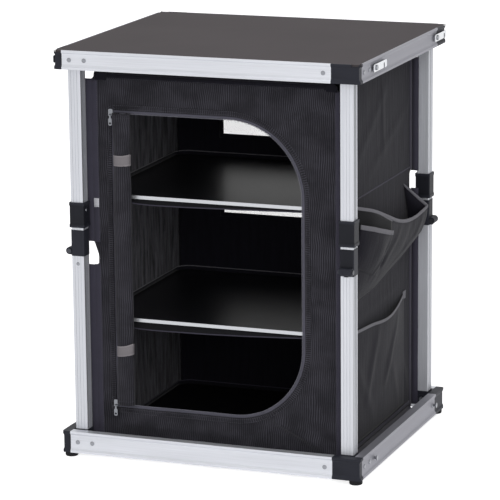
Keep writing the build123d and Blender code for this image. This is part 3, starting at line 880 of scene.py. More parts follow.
# Distance from thread to thread of the woven cloth, in millimetres
THREAD_PITCH = 0.9


def cloth_finish(
    name, colour, rib=None, depth=0.5, rib_low=0.72, rib_high=1.3, sheen=0.12, streaks=0.0,
):
    """Woven cloth: fine threads, an uneven tone, and ribs or painted shade of loose pleats; on
    ribbed cloth the uneven tone is painted shade of broad creases.
    """
    finish = Finish(
        name, colour, 0.86, Sheen_Weight=sheen, Sheen_Roughness=0.45, Specular_IOR_Level=0.12
    )
    weave = finish.weave()
    warp = finish.wave(finish.part(weave, 0), THREAD_PITCH)
    weft = finish.wave(finish.part(weave, 1), THREAD_PITCH)
    normal = finish.bump(finish.math("MULTIPLY", warp, weft), 0.25, 0.15)
    if streaks:
        # Painted shade of loose pleats: darker and lighter streaks up the cloth
        pleated = finish.noise(finish.stretched(weave, (0.1, 0.011, 1.0)), 1.0, 4.0, 0.65)
        shade = finish.range(pleated, 0.36, 0.64)
        tinted = finish.shaded(shade, 1 - streaks, 1 + streaks)
        normal = finish.bump(pleated, 0.6, 10.0 * streaks, normal)
    else:
        uneven = finish.noise(weave, 0.018, 4.0, 0.6)
        if rib:
            sway = finish.math("MULTIPLY", finish.noise(weave, 0.013, 2.0), rib * 4.0)
            ribs = finish.wave(finish.math("ADD", finish.part(weave, 0), sway), rib)
            # Painted shade of broad creases: the uneven tone darkens and lightens the ribs in wide
            # patches
            shade = finish.math("MULTIPLY", ribs, finish.range(uneven, 0.38, 0.62, 0.4, 1.1))
            tinted = finish.shaded(shade, rib_low, rib_high)
            normal = finish.bump(ribs, 0.8, depth, normal)
        else:
            tinted = finish.shaded(finish.range(uneven, 0.3, 0.7), 0.86, 1.14)
    finish.set("Base Color", tinted)
    finish.set("Normal", normal)
    return finish.material


def webbing_finish(name, colour, edge_share, half_width):
    """Flat webbing with a twill across it and lighter edges."""
    finish = Finish(name, colour, 0.8, Sheen_Weight=0.1, Specular_IOR_Level=0.15)
    weave = finish.weave()
    along, across = finish.part(weave, 0), finish.part(weave, 1)
    twill = finish.wave(finish.math("ADD", along, across), 1.6)
    edge = finish.range(
        finish.math("ABSOLUTE", across), half_width * edge_share, half_width * 0.97
    )
    base = finish.shaded(finish.range(twill, 0, 1, 0.2, 0.8), 0.86, 1.1)
    finish.set("Base Color", finish.mix(edge, base, finish.toned(1.35)))
    finish.set("Normal", finish.bump(twill, 0.5, 0.25))
    return finish.material


def metal_finish(name, colour, axis, roughness=0.38, grain=1.0, metallic=1.0, groove_shade=0.0):
    """Drawn metal: fine streaks along its length, and dark lines down its side faces, painted shade
    of their grooves.
    """
    finish = Finish(name, colour, roughness, metallic, Specular_IOR_Level=0.3)
    fine, broad = [900.0] * 3, [60.0] * 3
    fine[axis], broad[axis] = 9.0, 3.0
    streaks = finish.noise(finish.place(fine), 1.0, 3.0, 0.65)
    bands = finish.math("MULTIPLY", finish.noise(finish.place(broad), 1.0, 2.0), 0.5)
    factor = finish.range(finish.math("ADD", streaks, bands), 0.5, 1.0)
    tinted = finish.shaded(factor, 1 - 0.1 * grain, 1 + 0.05 * grain)
    if groove_shade:
        # Painted shade of the grooves: dark lines down the faces turned along x
        facing = finish.part(finish.node("ShaderNodeTexCoord").outputs["Normal"], 0)
        lines = finish.noise(finish.place((300.0, 300.0, 0.6)), 1.0, 1.0)
        deep = finish.range(lines, 0.42, 0.56, groove_shade, 0.0)
        dark = finish.math("MULTIPLY", finish.math("ABSOLUTE", facing), deep)
        tinted = finish.mix(dark, tinted, finish.toned(0.2))
    finish.set("Base Color", tinted)
    finish.set("Roughness", finish.range(streaks, 0.3, 0.7, roughness - 0.07, roughness + 0.09))
    finish.set("Normal", finish.bump(streaks, 0.12 * grain, 0.05))
    return finish.material


def plastic_finish(name, colour, roughness=0.5):
    """Moulded plastic with a fine grain, lighter on its sharp edges."""
    finish = Finish(name, colour, roughness, Specular_IOR_Level=0.14)
    place = finish.place()
    grain = finish.noise(place, 1400.0, 2.0)
    cloud = finish.noise(place, 40.0, 3.0)
    sharp_edges = finish.range(finish.node("ShaderNodeNewGeometry").outputs["Pointiness"], 0.52, 0.6)
    base = finish.shaded(finish.range(cloud, 0.3, 0.7), 0.88, 1.12)
    finish.set("Base Color", finish.mix(sharp_edges, base, finish.toned(1.9)))
    finish.set("Roughness", finish.range(grain, 0.3, 0.7, roughness - 0.06, roughness + 0.08))
    finish.set("Normal", finish.bump(grain, 0.25, 0.08))
    return finish.material


def board_finish(name, colour, roughness, grain_strength, gloss=0.08):
    """Coated board with a fine pebbled surface."""
    finish = Finish(name, colour, roughness, Specular_IOR_Level=gloss)
    place = finish.place()
    pebble = finish.noise(place, 1100.0, 3.0, 0.6)
    cloud = finish.noise(place, 6.0, 3.0)
    finish.set("Base Color", finish.shaded(finish.range(cloud, 0.3, 0.7), 0.95, 1.05))
    finish.set("Roughness", finish.range(pebble, 0.3, 0.7, roughness - 0.03, roughness + 0.04))
    finish.set("Normal", finish.bump(pebble, grain_strength, 0.06))
    return finish.material


def finish_named(name):
    """A finish, made the first time that it is asked for."""
    if name in Finish.made:
        return Finish.made[name]
    cloth, metal = bpy.context.scene.cupboard_cloth, bpy.context.scene.cupboard_metal
    pitch = cloth.rib_pitch / MM
    makers = {
        # colour; rib pitch and depth; darkest and lightest share of the ribs; sheen; painted shade
        # of the pleats
        cloth_finish: {
            "ribbed cloth": (cloth.body_colour, pitch, 0.5, 0.42, 1.85),
            "rolled cloth": (cloth.body_colour, pitch, 0.5, 0.5, 1.9),
            "edge band": (cloth.band_colour, 2.2, 0.2, 0.9, 1.1),
            "door binding": (cloth.binding_colour, 2.2, 0.2, 0.9, 1.1),
            "pocket trim": (cloth.pocket_trim, 1.8, 0.3, 0.85, 1.12),
            "side cloth": (cloth.side_colour, None, 0.0, 1.0, 1.0, 0.12, 0.16),
            "pocket cloth": (cloth.side_colour, None, 0.0, 1.0, 1.0, 0.14, 0.12),
            # the walls inside: a lighter copy of the side cloth as painted light, with painted
            # pleat shade
            "wall lining": (cloth.lining_colour, None, 0.0, 1.0, 1.0, 0.12, 0.75),
            # dark cloth of the shelf lips, also the painted shade behind the small pocket's mouth
            "lip cloth": (tone(22, 22, 25),),
            "thread": (cloth.thread_colour,),
            "vent thread": (cloth.mesh_colour,),
        },
        # colour; where the lighter edge begins, as a share of the half width; half width
        webbing_finish: {
            "strap webbing": (cloth.webbing_colour, 0.72, 10.0),
            "tie webbing": (tone(205, 205, 211), 0.72, 5.0),
        },
        # colour; axis of the streaks; roughness; grain; metallic share; painted shade of grooves on
        # its sides
        metal_finish: {
            "aluminium along x": (metal.aluminium, 0, 0.42, 1.2, 0.6),
            # the side rails: rougher aluminium, darkened as painted shade
            "aluminium along y": (metal.side_rails, 1, 0.45, 1.5, 0.5),
            "aluminium along z": (metal.aluminium, 2, 0.45, 1.0, 0.5, 0.8),
            "shelf strip": (tone(196, 198, 202), 0, 0.34, 0.6, 0.7),
            "steel": (metal.steel, 2, 0.28, 0.5),
            "dark steel": (tone(74, 75, 80), 2, 0.4, 0.5),
            "latch steel": (tone(205, 207, 210), 1, 0.2, 0.5),
            "zip metal": (metal.zip_metal, 2, 0.26, 0.6),
        },
        # colour; roughness
        plastic_finish: {
            "black plastic": (metal.plastic,),
            "foot rubber": (tone(30, 30, 32), 0.75),
            "zip coil": (tone(98, 98, 106), 0.4),
        },
        # colour; roughness; depth of the pebbles; gloss
        board_finish: {
            "table board": (metal.table, 0.7, 0.2),
            "shelf laminate": (metal.laminate, 0.33, 0.012, 0.55),
            "floor laminate": (tone(20, 20, 22), 0.5, 0.1),
            "slat board": (tone(40, 40, 42), 0.6, 0.2),
        },
    }
    for maker, finishes in makers.items():
        if name in finishes:
            return maker(name, *finishes[name])
    raise RuntimeError("no finish is called " + name)


# Operators

class CUPBOARD_OT_metalwork(bpy.types.Operator):
    """Give the frame, legs, boards and fittings their finishes"""

    bl_idname = "cupboard.metalwork"
    bl_label = "Frame and boards"

    def execute(self, context):
        wanted = {
            "base_rails_long": "aluminium along x", "top_rails_long": "aluminium along x",
            "base_rails_short": "aluminium along y", "top_rails_short": "aluminium along y",
            "base_corners": "black plastic", "top_corners": "black plastic",
            "feet": "foot rubber", "base_rivets": "steel", "top_rivets": "steel",
            "base_brackets": "black plastic", "top_brackets": "black plastic",
            "latch_studs": "steel", "base_slats": "slat board", "floor_board": "floor laminate",
            "top_board": "table board",
        }
        for leg in LEGS:
            wanted["lower_leg_" + leg] = wanted["upper_leg_" + leg] = "aluminium along z"
            wanted["lower_ends_" + leg] = wanted["upper_ends_" + leg] = "black plastic"
            wanted["lock_sleeve_" + leg] = "black plastic"
            wanted["knee_pin_" + leg] = "dark steel"
        for place in ("right_front", "right_rear", "left_rear", "left_front"):
            wanted["latch_" + place] = "latch steel"
        for level in ("lower", "upper"):
            wanted["shelf_" + level] = "shelf laminate"
            wanted["shelf_strip_" + level] = "shelf strip"
            wanted["zip_slider_" + level] = wanted["zip_pull_" + level] = "zip metal"
        for node, finish in wanted.items():
            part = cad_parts[node]
            material = finish_named(finish)
            if not part.material_slots:
                raise RuntimeError(node + " has no material slot")
            for slot in part.material_slots:
                slot.material = material
        return {"FINISHED"}


def flat_area(line):
    """The area that a closed 2-D line encloses."""
    line = np.asarray(line, float)
    following = np.roll(line, -1, axis=0)
    return abs((line[:, 0] * following[:, 1] - following[:, 0] * line[:, 1]).sum()) / 2


def make_panel(name, node, half, notches, holes, at, finish, thickness, pitch, lining=None):
    """One panel of the body, cut to its outline, with its area."""
    outline = panel_outline(half, notches)
    points, faces, weave = cut_sheet(outline, holes, pitch, at)
    piece = add_piece(name, points, faces, finish, weave)
    normal = np.zeros(3)
    for polygon in piece.data.polygons[:40]:
        normal += np.array(polygon.normal)
    outward = np.array(at(0.0, 300.0, 1.0)) - np.array(at(0.0, 300.0, 0.0))
    if normal @ outward < 0:
        piece.data.flip_normals()
    thicken(piece, thickness)
    # Faces turned inward take the lighter lining finish: painted light inside the walls
    if lining:
        outward /= np.linalg.norm(outward)
        piece.data.materials.append(finish_named(lining))
        for polygon in piece.data.polygons:
            if np.array(polygon.normal) @ outward < -0.3:
                polygon.material_index = 1
    area = flat_area(outline)
    for hole in holes:
        area -= flat_area(spaced(hole, 4.0, True))
    set_in_place(piece, "base", (node,))
    return piece, area * MM * MM


def runs_beside(notch):
    """The stretches of an upright edge above and below its notch."""
    top = TOP_CORNER[0][1]
    return [(CLOTH_LOW, notch[0][1]), (notch[-1][1], top)] if notch else [(CLOTH_LOW, top)]


def edge_bands(half, notches, at, width, thickness):
    """Bound upright edges of a panel, interrupted by its notches."""
    strips = []
    section = strip_section(width, thickness)
    for sign, notch in zip((-1, 1), notches):
        middle = sign * (half - width / 2)
        for low, high in runs_beside(notch):
            strips.append(on_panel([(middle, low), (middle, high)], at, section))
    return strips


def edge_stitches(batch, half, notches, at, width, length):
    """A row of stitches up the inner side of each bound edge."""
    for sign, notch in zip((-1, 1), notches):
        a = sign * (half - width + 1.6)
        for low, high in runs_beside(notch):
            stitch_row(batch, [(a, low + 3), (a, high - 3)], at, length, 0, 1.0)


def corner_flanges(names, at):
    """The sewn flanges that stand out from the two corners of the front or back panel."""
    strips = []
    for sign, name in zip((-1, 1), names):
        low_gap, high_gap, reach = FLANGES[name]
        for low, high in ((CLOTH_LOW + 4.0, low_gap), (high_gap, TOP_CORNER[0][1])):
            path = []
            for k in range(24):
                height = low + (high - low) * k / 23
                shy = 0.5 + 0.5 * soft(0.0, height, 0.012, 5.0 * sign)
                path.append((sign * (HALF_X + reach / 2 - 0.5 - 0.7 * shy), height))
            strips.append(on_panel(path, at, strip_section(reach, 1.5, 0.0, -0.8)))
    return strips


def skirt(at):
    """The flat flange that runs out from a side wall's lower edge towards the base rail."""
    front, rear = SKIRT_ENDS
    points, weave = [], []
    rows = 40
    for k in range(rows):
        a = front + (rear - front) * k / (rows - 1)
        reach = min(SKIRT_REACH, max(2.0, (rear - a) * 0.75)) + 0.8 * soft(a, 0.0, 0.02, 31.0)
        for far, height in SKIRT_SECTION:
            out = far * reach
            points.append(at(a, height, out))
            weave.append((a, out))
    faces = grid_faces(rows, 4, wrap=True)
    faces += [(0, 1, 2, 3), tuple(4 * rows - 4 + k for k in range(4))]
    return points, faces, weave


def level_strip(half, height, at, section):
    """A strip across a panel at one height."""
    return on_panel([(-half, height), (half, height)], at, section)


def level_stitches(batch, half, height, at, length, lift):
    """A row of stitches across a panel at one height."""
    stitch_row(batch, [(-half, height), (half, height)], at, length, 0, lift)


def top_hem(name, half, at):
    """The folded hem and bead below the top rail."""
    reach = half - TOP_CORNER[-1][0]
    return sewn(
        name, "side cloth", level_strip(reach, TOP_HEM, at, strip_section(9.0, 1.6)),
        level_strip(reach, TOP_BEAD, at, round_section(1.6, 0.8)),
    )


class CUPBOARD_OT_front_panel(bpy.types.Operator):
    """Cut the front panel with its door opening, and sew its bands, hem, binding and zip"""

    bl_idname = "cupboard.front_panel"
    bl_label = "Front panel"

    def execute(self, context):
        cloth = context.scene.cupboard_cloth
        band = cloth.band_width / MM
        binding = cloth.binding_width / MM
        length = cloth.stitch_length / MM
        notches = (FRONT_NOTCH, ())
        door = door_line()
        piece, area = make_panel(
            "front_panel", "fabric_front", HALF_X, notches, [door], at_front, "ribbed cloth",
            cloth.thickness, 6.0,
        )
        bands = sewn(
            "front_edge_bands", "edge band", *edge_bands(HALF_X, notches, at_front, band, 1.0),
            *corner_flanges(("front left", "front right"), at_front),
        )
        hem = top_hem("front_hem", HALF_X, at_front)
        low_hem = sewn(
            "front_low_hem", "edge band",
            level_strip(HALF_X - band, FRONT_LOW_HEM, at_front, strip_section(9.0, 0.9)),
        )
        section = strip_section(10.0, 0.9, binding + 5.0)
        flange = sewn("door_flange", "ribbed cloth", on_panel(door, at_front, section, True, 5.0))
        section = strip_section(binding, 2.2, binding / 2 - 1.0, -1.2)
        bound = sewn("door_binding", "door binding", on_panel(door, at_front, section, True, 4.0))
        teeth = self.zip_teeth(door)
        stitches = Batch()
        stitch_row(stitches, door, at_front, length, binding + 2.0, 0.9, True)
        stitch_row(stitches, door, at_front, length, binding + 8.6, 0.9, True)
        edge_stitches(stitches, HALF_X, notches, at_front, band, length)
        level_stitches(stitches, 214.0, TOP_STITCHES, at_front, length, 1.6)
        level_stitches(stitches, 230.0, FRONT_LOW_STITCHES, at_front, length, 0.9)
        stitches = stitches.piece("front_stitching", "thread", smooth=False)
        trims = [bands, hem, low_hem, flange, bound, teeth, stitches, self.tabs()]
        for trim in trims:
            set_in_place(trim, "base")
        return {"FINISHED"}

    def zip_teeth(self, door):
        """The teeth of the zip along the door's edge, except at its hinge seam."""
        teeth = Batch()
        path = spaced(door, 2.1, True)
        normals = flat_normals(path, True)
        steps = np.roll(path, -1, axis=0) - np.roll(path, 1, axis=0)
        steps /= np.linalg.norm(steps, axis=1)[:, None]
        for place, normal, step in zip(path, normals, steps):
            if place[0] < DOOR_LEFT + 1.0:
                continue
            corners = []
            for out in (0.2, 1.5):
                for along in (-0.6, 0.6):
                    for across, taper in ((-2.4, 1.0), (-0.9, 0.6)):
                        a, b = place + step * along * taper + normal * across
                        corners.append(at_front(a, b, out - 0.6))
            teeth.add(corners, [
                (0, 1, 3, 2), (4, 6, 7, 5), (0, 4, 5, 1), (2, 3, 7, 6), (0, 2, 6, 4), (1, 5, 7, 3),
            ])
        return teeth.piece("door_zip_teeth", "zip coil", smooth=False)

    def tabs(self):
        """The small tabs sewn over the panel's top corners."""
        tabs = Batch()
        for sign in (-1, 1):
            middle, height = sign * TAB_MIDDLE[0], TAB_MIDDLE[1]
            outline = [(sign * a, b) for a, b in TAB_SHAPE]
            inner = [
                (middle + (a - middle) * TAB_TOP_SHARE, height + (b - height) * TAB_TOP_SHARE)
                for a, b in outline
            ]
            rings = [(outline, 0.3), (outline, 2.2), (inner, 3.0)]
            points = [at_front(a, b, out) for ring, out in rings for a, b in ring]
            faces = grid_faces(3, 5, wrap=True) + [tuple(range(10, 15)), tuple(range(5))]
            tabs.add(points, faces)
        return tabs.piece("corner_tabs_front", "side cloth", smooth=False)


class CUPBOARD_OT_side_panels(bpy.types.Operator):
    """Cut the left and right walls with their loose folds, bands and hems"""

    bl_idname = "cupboard.side_panels"
    bl_label = "Side walls"

    def execute(self, context):
        cloth = context.scene.cupboard_cloth
        length = cloth.stitch_length / MM
        half = HALF_Y - 1.0
        band = cloth.band_width / MM
        walls = (("left", at_left, (SIDE_NOTCH, ())), ("right", at_right, ((), REAR_NOTCH)))
        for name, at, notches in walls:
            piece, area = make_panel(
                name + "_panel", "fabric_" + name, half, notches, [], at, "side cloth",
                cloth.thickness, 7.0, lining="wall lining",
            )
            strips = edge_bands(half, notches, at, band, 1.0)
            if name == "right":
                strips.append(level_strip(199.0, POCKET_SEAM, at, strip_section(3.0, 0.9)))
            strips.append(level_strip(199.0, SIDE_LOW_HEM, at, strip_section(8.0, 1.0)))
            strips.append(skirt(at))
            bands = sewn(name + "_edge_bands", "edge band", *strips)
            hem = top_hem(name + "_hem", half, at)
            stitches = Batch()
            edge_stitches(stitches, half, notches, at, band, length)
            level_stitches(stitches, 180.0, TOP_STITCHES, at, length, 1.6)
            level_stitches(stitches, 196.0, SIDE_LOW_STITCHES, at, length, 1.0)
            stitches = stitches.piece(name + "_stitching", "thread", smooth=False)
            trims = [bands, hem, stitches]
            for trim in trims:
                set_in_place(trim, "base")
        return {"FINISHED"}


class CUPBOARD_OT_back_panel(bpy.types.Operator):
    """Cut the back wall with its two vents, their mesh and borders"""

    bl_idname = "cupboard.back_panel"
    bl_label = "Back wall and vents"

    def execute(self, context):
        cloth = context.scene.cupboard_cloth
        length = cloth.stitch_length / MM
        holes = [rectangle(box) for box in VENTS]
        notches = ((), REAR_NOTCH)
        band = cloth.band_width / MM
        piece, area = make_panel(
            "back_panel", "fabric_back", HALF_X, notches, holes, at_back, "side cloth",
            cloth.thickness, 8.0,
        )
        flanges = sewn(
            "back_flanges", "edge band", *corner_flanges(("back left", "back right"), at_back)
        )
        strips = edge_bands(HALF_X, notches, at_back, band, 1.0)
        strips.append(level_strip(234.0, BACK_LOW_HEM, at_back, strip_section(8.0, 1.0)))
        for hole in holes:
            for lift in (0.0, -1.9):
                section = strip_section(9.0, 1.0, -3.5, lift)
                strips.append(on_panel(hole, at_back, section, True))
        bands = sewn("back_edge_bands", "side cloth", *strips)
        hem = top_hem("back_hem", HALF_X, at_back)
        stitches = Batch()
        for hole in holes:
            stitch_row(stitches, hole, at_back, length, -5.8, 1.0, True)
        edge_stitches(stitches, HALF_X, notches, at_back, band, length)
        stitches = stitches.piece("back_stitching", "thread", smooth=False)
        mesh = self.vent_mesh()
        trims = [bands, flanges, hem, stitches]
        for trim in trims:
            set_in_place(trim, "base")
        set_in_place(mesh, "base", ("back_vents",))
        return {"FINISHED"}

    def vent_mesh(self):
        """The crossed threads of both vents."""
        threads = Batch()
        pitch, half = VENT_PITCH, VENT_THREAD
        for a0, a1, b0, b1 in VENTS:
            upright = np.arange(a0 + pitch / 2, a1, pitch)
            level = np.arange(b0 + pitch / 2, b1, pitch)
            lines = [((a, b0 - 2), (a, b1 + 2), (half, 0.0), -0.8) for a in upright]
            lines += [((a0 - 2, b), (a1 + 2, b), (0.0, half), -0.35) for b in level]
            for (s0, t0), (s1, t1), (ds, dt), out in lines:
                row = []
                for k in range(9):
                    s, t = s0 + (s1 - s0) * k / 8, t0 + (t1 - t0) * k / 8
                    row += [
                        at_back(s - ds, t - dt, out), at_back(s, t, out + half * 1.2),
                        at_back(s + ds, t + dt, out), at_back(s, t, out - half * 1.2),
                    ]
                threads.add(row, grid_faces(9, 4, wrap=True))
        return threads.piece("vent_mesh", "vent thread")


# The rolled door: its middle, its half widths and the thickness of its cloth
ROLL_X = (ROLL_LOW[0] + ROLL_HIGH[0]) / 2
ROLL_Y = (ROLL_LOW[1] + ROLL_HIGH[1]) / 2
ROLL_RX = (ROLL_HIGH[0] - ROLL_LOW[0]) / 2
ROLL_RY = (ROLL_HIGH[1] - ROLL_LOW[1]) / 2
DOOR_THICKNESS = 0.7

# Its straps, upper and lower: heights and tilts, then the share of its width that the roll keeps
# under a strap and how far up and down that is felt
STRAP_PLACES = (STRAP_HIGH[2] - 10.5, STRAP_LOW[2] + 10.5)
STRAP_TILTS = (0.6, 2.6)
ROLL_PINCH = 0.86
PINCH_REACH = 52.0


def roll_scale(height):
    """How far the straps draw the roll in at a height."""
    scale = 1.0
    for place in STRAP_PLACES:
        near = abs(height - place) / PINCH_REACH
        if near < 1:
            scale = min(scale, 1 - (1 - ROLL_PINCH) * (1 + math.cos(math.pi * near)) / 2)
    return scale


def door_reach(width):
    """Lowest and highest point of the door at a distance from its hinge seam."""
    a = DOOR_LEFT + width
    high, low = DOOR_TOP, DOOR_BOTTOM
    r_high, r_low = DOOR_CURVES
    over = a - (DOOR_RIGHT - r_high)
    if over > 0:
        high -= r_high - math.sqrt(max(0.0, r_high**2 - min(over, r_high) ** 2))
    over = a - (DOOR_RIGHT - r_low)
    if over > 0:
        low += r_low - math.sqrt(max(0.0, r_low**2 - min(over, r_low) ** 2))
    return max(low, ROLL_LOW[2]), high


class CUPBOARD_OT_door_roll(bpy.types.Operator):
    """Roll up the door cloth at the left of the opening and tie it with two straps"""

    bl_idname = "cupboard.door_roll"
    bl_label = "Rolled door and straps"

    def execute(self, context):
        roll = context.scene.cupboard_roll
        width = roll.door_width / MM
        line, distance = self.wound_line(width, roll.inner_share, roll.steps)
        rows = 64
        points, weave = [], []
        for (dx, dy), s in zip(line, distance):
            low, high = door_reach(s)
            for j in range(rows):
                height = low + (high - low) * j / (rows - 1)
                hem = 0.35 if min(height - low, high - height) < 9 else 0.0
                waves = 0.25 * math.sin(s * 0.4 + height * 0.02)
                flutter = 0.35 * soft(s * 3, height, 0.02, 5.0) + waves
                grow = min(roll_scale(height) + (hem + flutter) / ROLL_RX, 1.0)
                points.append((ROLL_X + dx * grow, ROLL_Y + dy * grow, height))
                weave.append((s, height))
        faces = grid_faces(len(line), rows)
        piece = add_piece("rolled_door", points, faces, "rolled cloth", weave)
        thicken(piece, DOOR_THICKNESS * MM, 0.0)
        set_in_place(piece, "base", ("door_roll",))
        trims = [self.seam_band(line, distance)]
        length = context.scene.cupboard_cloth.stitch_length / MM
        stitches = Batch()
        for place in (DOOR_TOP - 8.0, ROLL_LOW[2] + 8.0):
            scale = roll_scale(place)

            def at_roll(a, b, out, place=place, scale=scale):
                k = min(len(line) - 1, max(0, int(a / width * (len(line) - 1))))
                grow = scale * (1 + (out + 0.4) / ROLL_RX)
                return (ROLL_X + line[k][0] * grow, ROLL_Y + line[k][1] * grow, place + b)

            stitch_row(stitches, [(14.0, 0.0), (52.0, 0.0)], at_roll, length, 0, 0.1)
        trims.append(stitches.piece("roll_stitching", "thread", smooth=False))
        for trim in trims:
            set_in_place(trim, "base")
        height = roll.strap_height / MM
        for place, name, tilt in zip(STRAP_PLACES, ("upper", "lower"), STRAP_TILTS):
            points, across, out = self.strap_line(place, tilt, roll.strap_thickness / MM)
            section = strip_section(height, roll.strap_thickness / MM)
            strap = sewn("strap_" + name, "strap webbing", sweep(points, across, out, section))
            set_in_place(strap, "base", ("roll_straps",))
            length = float(np.linalg.norm(np.diff(np.array(points), axis=0), axis=1).sum())
        return {"FINISHED"}

    def wound_line(self, width, core, steps):
        """The rolled cloth seen from above, about the roll's middle, and the distance along it."""
        around = math.pi * (ROLL_RX + ROLL_RY)
        turns = width / (around * (1 + core) / 2)
        line = [
            (DOOR_LEFT - 3.0 - ROLL_X, -HALF_Y - 0.6 - ROLL_Y),
            (-ROLL_RX - 0.3, 4.0), (-ROLL_RX, 1.5),
        ]
        for k in range(int(turns * 360)):
            share = 1 - (1 - core) * k / (turns * 360)
            angle = math.pi + math.radians(k)
            line.append((share * ROLL_RX * math.cos(angle), share * ROLL_RY * math.sin(angle)))
        line = spaced(line, width / (steps - 1))
        distance = np.cumsum(np.linalg.norm(np.diff(line, axis=0), axis=1))
        distance = np.concatenate([[0.0], distance])
        distance *= width / distance[-1]
        return line, distance

    def seam_band(self, line, distance):
        """The band that covers the seam at the roll's outer end."""
        seam = Batch()
        covered = [k for k, s in enumerate(distance) if 2.0 < s < 13.0]
        first, last = covered[0], covered[-1]
        rows = 60
        for j in range(rows):
            height = ROLL_LOW[2] + 2 + (ROLL_HIGH[2] - ROLL_LOW[2] - 4) * j / (rows - 1)
            scale = roll_scale(height)
            for k in (first, (first + last) // 2, last):
                dx, dy = line[k][0] * scale, line[k][1] * scale
                for grow in (1.0, 1.06):
                    seam.points.append((ROLL_X + dx * grow, ROLL_Y + dy * grow, height))
                    seam.weave.append((height, distance[k]))
        order = [0, 2, 4, 5, 3, 1]
        for j in range(rows - 1):
            for a, b in zip(order, order[1:] + order[:1]):
                seam.faces.append((j * 6 + a, j * 6 + b, (j + 1) * 6 + b, (j + 1) * 6 + a))
        return seam.piece("roll_seam_band", "edge band")

    def strap_line(self, place, tilt, thickness):
        """The line of a strap once round the roll, its end lying over its beginning."""
        scale = roll_scale(place)
        points, across, out = [], [], []
        for k in range(66):
            angle = math.radians(-60 + k * 6.2)
            over = max(0, k - 56)
            lift = 0.5 + (thickness + 0.1) * (over / 10)
            rx, ry = ROLL_RX * scale + lift, ROLL_RY * scale + lift
            points.append((
                ROLL_X + rx * math.cos(angle), ROLL_Y + ry * math.sin(angle),
                place + tilt * math.cos(angle) + 0.25 * over,
            ))
            across.append(Vector((0, 0, 1)))
            out.append(Vector((math.cos(angle) / rx, math.sin(angle) / ry, 0)).normalized())
        return points, across, out


def along_table(table, u):
    """The place at a share u of a table of stations."""
    first, last = table[0][0], table[-1][0]
    return first + (last - first) * u


def bellows_at(u, v):
    """A point on the bellows pocket's face: u from front to rear, v from the rim down."""
    y = along_table(BELLOWS, u)
    reach, rim, low = (table_value(BELLOWS, y, k) for k in (1, 2, 3))
    share = table_value(BELLOWS_PROFILE, v, 1)
    z = rim + (low - rim) * v
    fold = sum(ridge(y, z, crease) for crease in POCKET_CREASES)
    fold += 1.2 * soft(y, z, 0.022, 71.0) * math.sin(math.pi * v)
    x = HALF_X + WALL_GAP + max(0.2, reach * share + fold * min(1, reach / 20) - 0.8)
    return (x, y, z)


def on_bellows(y, z):
    """How far out the bellows pocket's face lies at a place."""
    top, low = table_value(BELLOWS, y, 2), table_value(BELLOWS, y, 3)
    down = min(1.0, max(0.0, (top - z) / (top - low)))
    return bellows_at((y - BELLOWS[0][0]) / (BELLOWS[-1][0] - BELLOWS[0][0]), down)[0]


def small_pocket_at(u, v):
    """A point on the small pocket sewn to the bellows pocket's face."""
    place = along_table(SMALL_POCKET, u)
    reach, rim = table_value(SMALL_POCKET, place, 1), table_value(SMALL_POCKET, place, 2)
    y = place - 34.0 * u * v
    z = rim - SMALL_POCKET_DEPTH * v
    face = on_bellows(y, z) + 0.7
    slack = HALF_X + reach - on_bellows(place, rim)
    share = (1 - v) ** 0.8 + 0.35 * math.sin(math.pi * v) * math.sin(math.pi * u) ** 0.6
    return (face + max(0.0, slack) * share, y, z)


def small_seam_at(u, v):
    """A point on the small pocket's back edge, sewn on below the rim."""
    y = along_table(SMALL_POCKET, u)
    z = table_value(SMALL_POCKET, y, 4) - 6.0 * v
    return (max(on_bellows(y, z), HALF_X + table_value(SMALL_POCKET, y, 3)) + 0.5, y, z)


def mouth_shade_at(u, v):
    """A point on the dark sheet behind the small pocket's mouth, painted shade of the pocket's
    inside.
    """
    y = along_table(SMALL_POCKET, u)
    top, rim = table_value(SMALL_POCKET, y, 4), table_value(SMALL_POCKET, y, 2)
    z = top + (rim - 8.0 - top) * v
    return (on_bellows(y, z) + 0.25, y, z)


def flat_pocket_at(u, v):
    """A point on the flat pocket's face."""
    y = along_table(FLAT_POCKET, u)
    rim, reach = table_value(FLAT_POCKET, y, 1), table_value(FLAT_POCKET, y, 2)
    share = table_value(FLAT_PROFILE, v, 1)
    z = rim + (FLAT_LOW - rim) * v
    ripple = 1.2 * soft(y, z, 0.018, 83.0) * math.sin(math.pi * v) ** 0.7
    fold = sum(ridge(y, z, crease) for crease in FLAT_CREASES)
    ends = math.sin(math.pi * min(max(u, 0.0), 1.0)) ** 0.4
    x = HALF_X + WALL_GAP + max(0.4, reach * share * ends + (ripple + fold) * ends + 0.8)
    return (x, y, z)


def rim_strip(at, count, width, thickness, outward=(1, 0, 0)):
    """A trim along a pocket's rim, on its outward side."""
    points, across, out = [], [], []
    for k in range(count):
        u = k / (count - 1)
        here = Vector(at(u, 0.0))
        below = Vector(at(u, 0.03)) - here
        ahead = Vector(at(min(1, u + 0.01), 0.0)) - Vector(at(max(0, u - 0.01), 0.0))
        down = below.normalized()
        normal = ahead.cross(down).normalized()
        if normal.dot(Vector(outward)) < 0:
            normal = -normal
        points.append(here)
        across.append(down)
        out.append(normal)
    return sweep(points, across, out, strip_section(width, thickness, width / 2 - 0.6, -0.3))


def gusset_place(end, top, pleat_depth):
    """The place(s, v) of a bellows gusset, from the wall to the end of the pocket's face."""
    back = HALF_X + WALL_GAP
    rim = bellows_at(end, 0.0)

    def place(s, v):
        x, y, z = bellows_at(end, v)
        wall_y, wall_z = top or (y, GUSSET_TOP)
        down = (1 - v) ** 1.4
        pleat = math.sin(math.pi * s) * (1 - v) ** 0.7 * min(1.0, v * 5)
        return (
            back + (x - back) * s,
            y + (1 - s) * down * (wall_y - y) + pleat_depth * pleat,
            z + (1 - s) * down * (wall_z - rim[2]),
        )

    return place


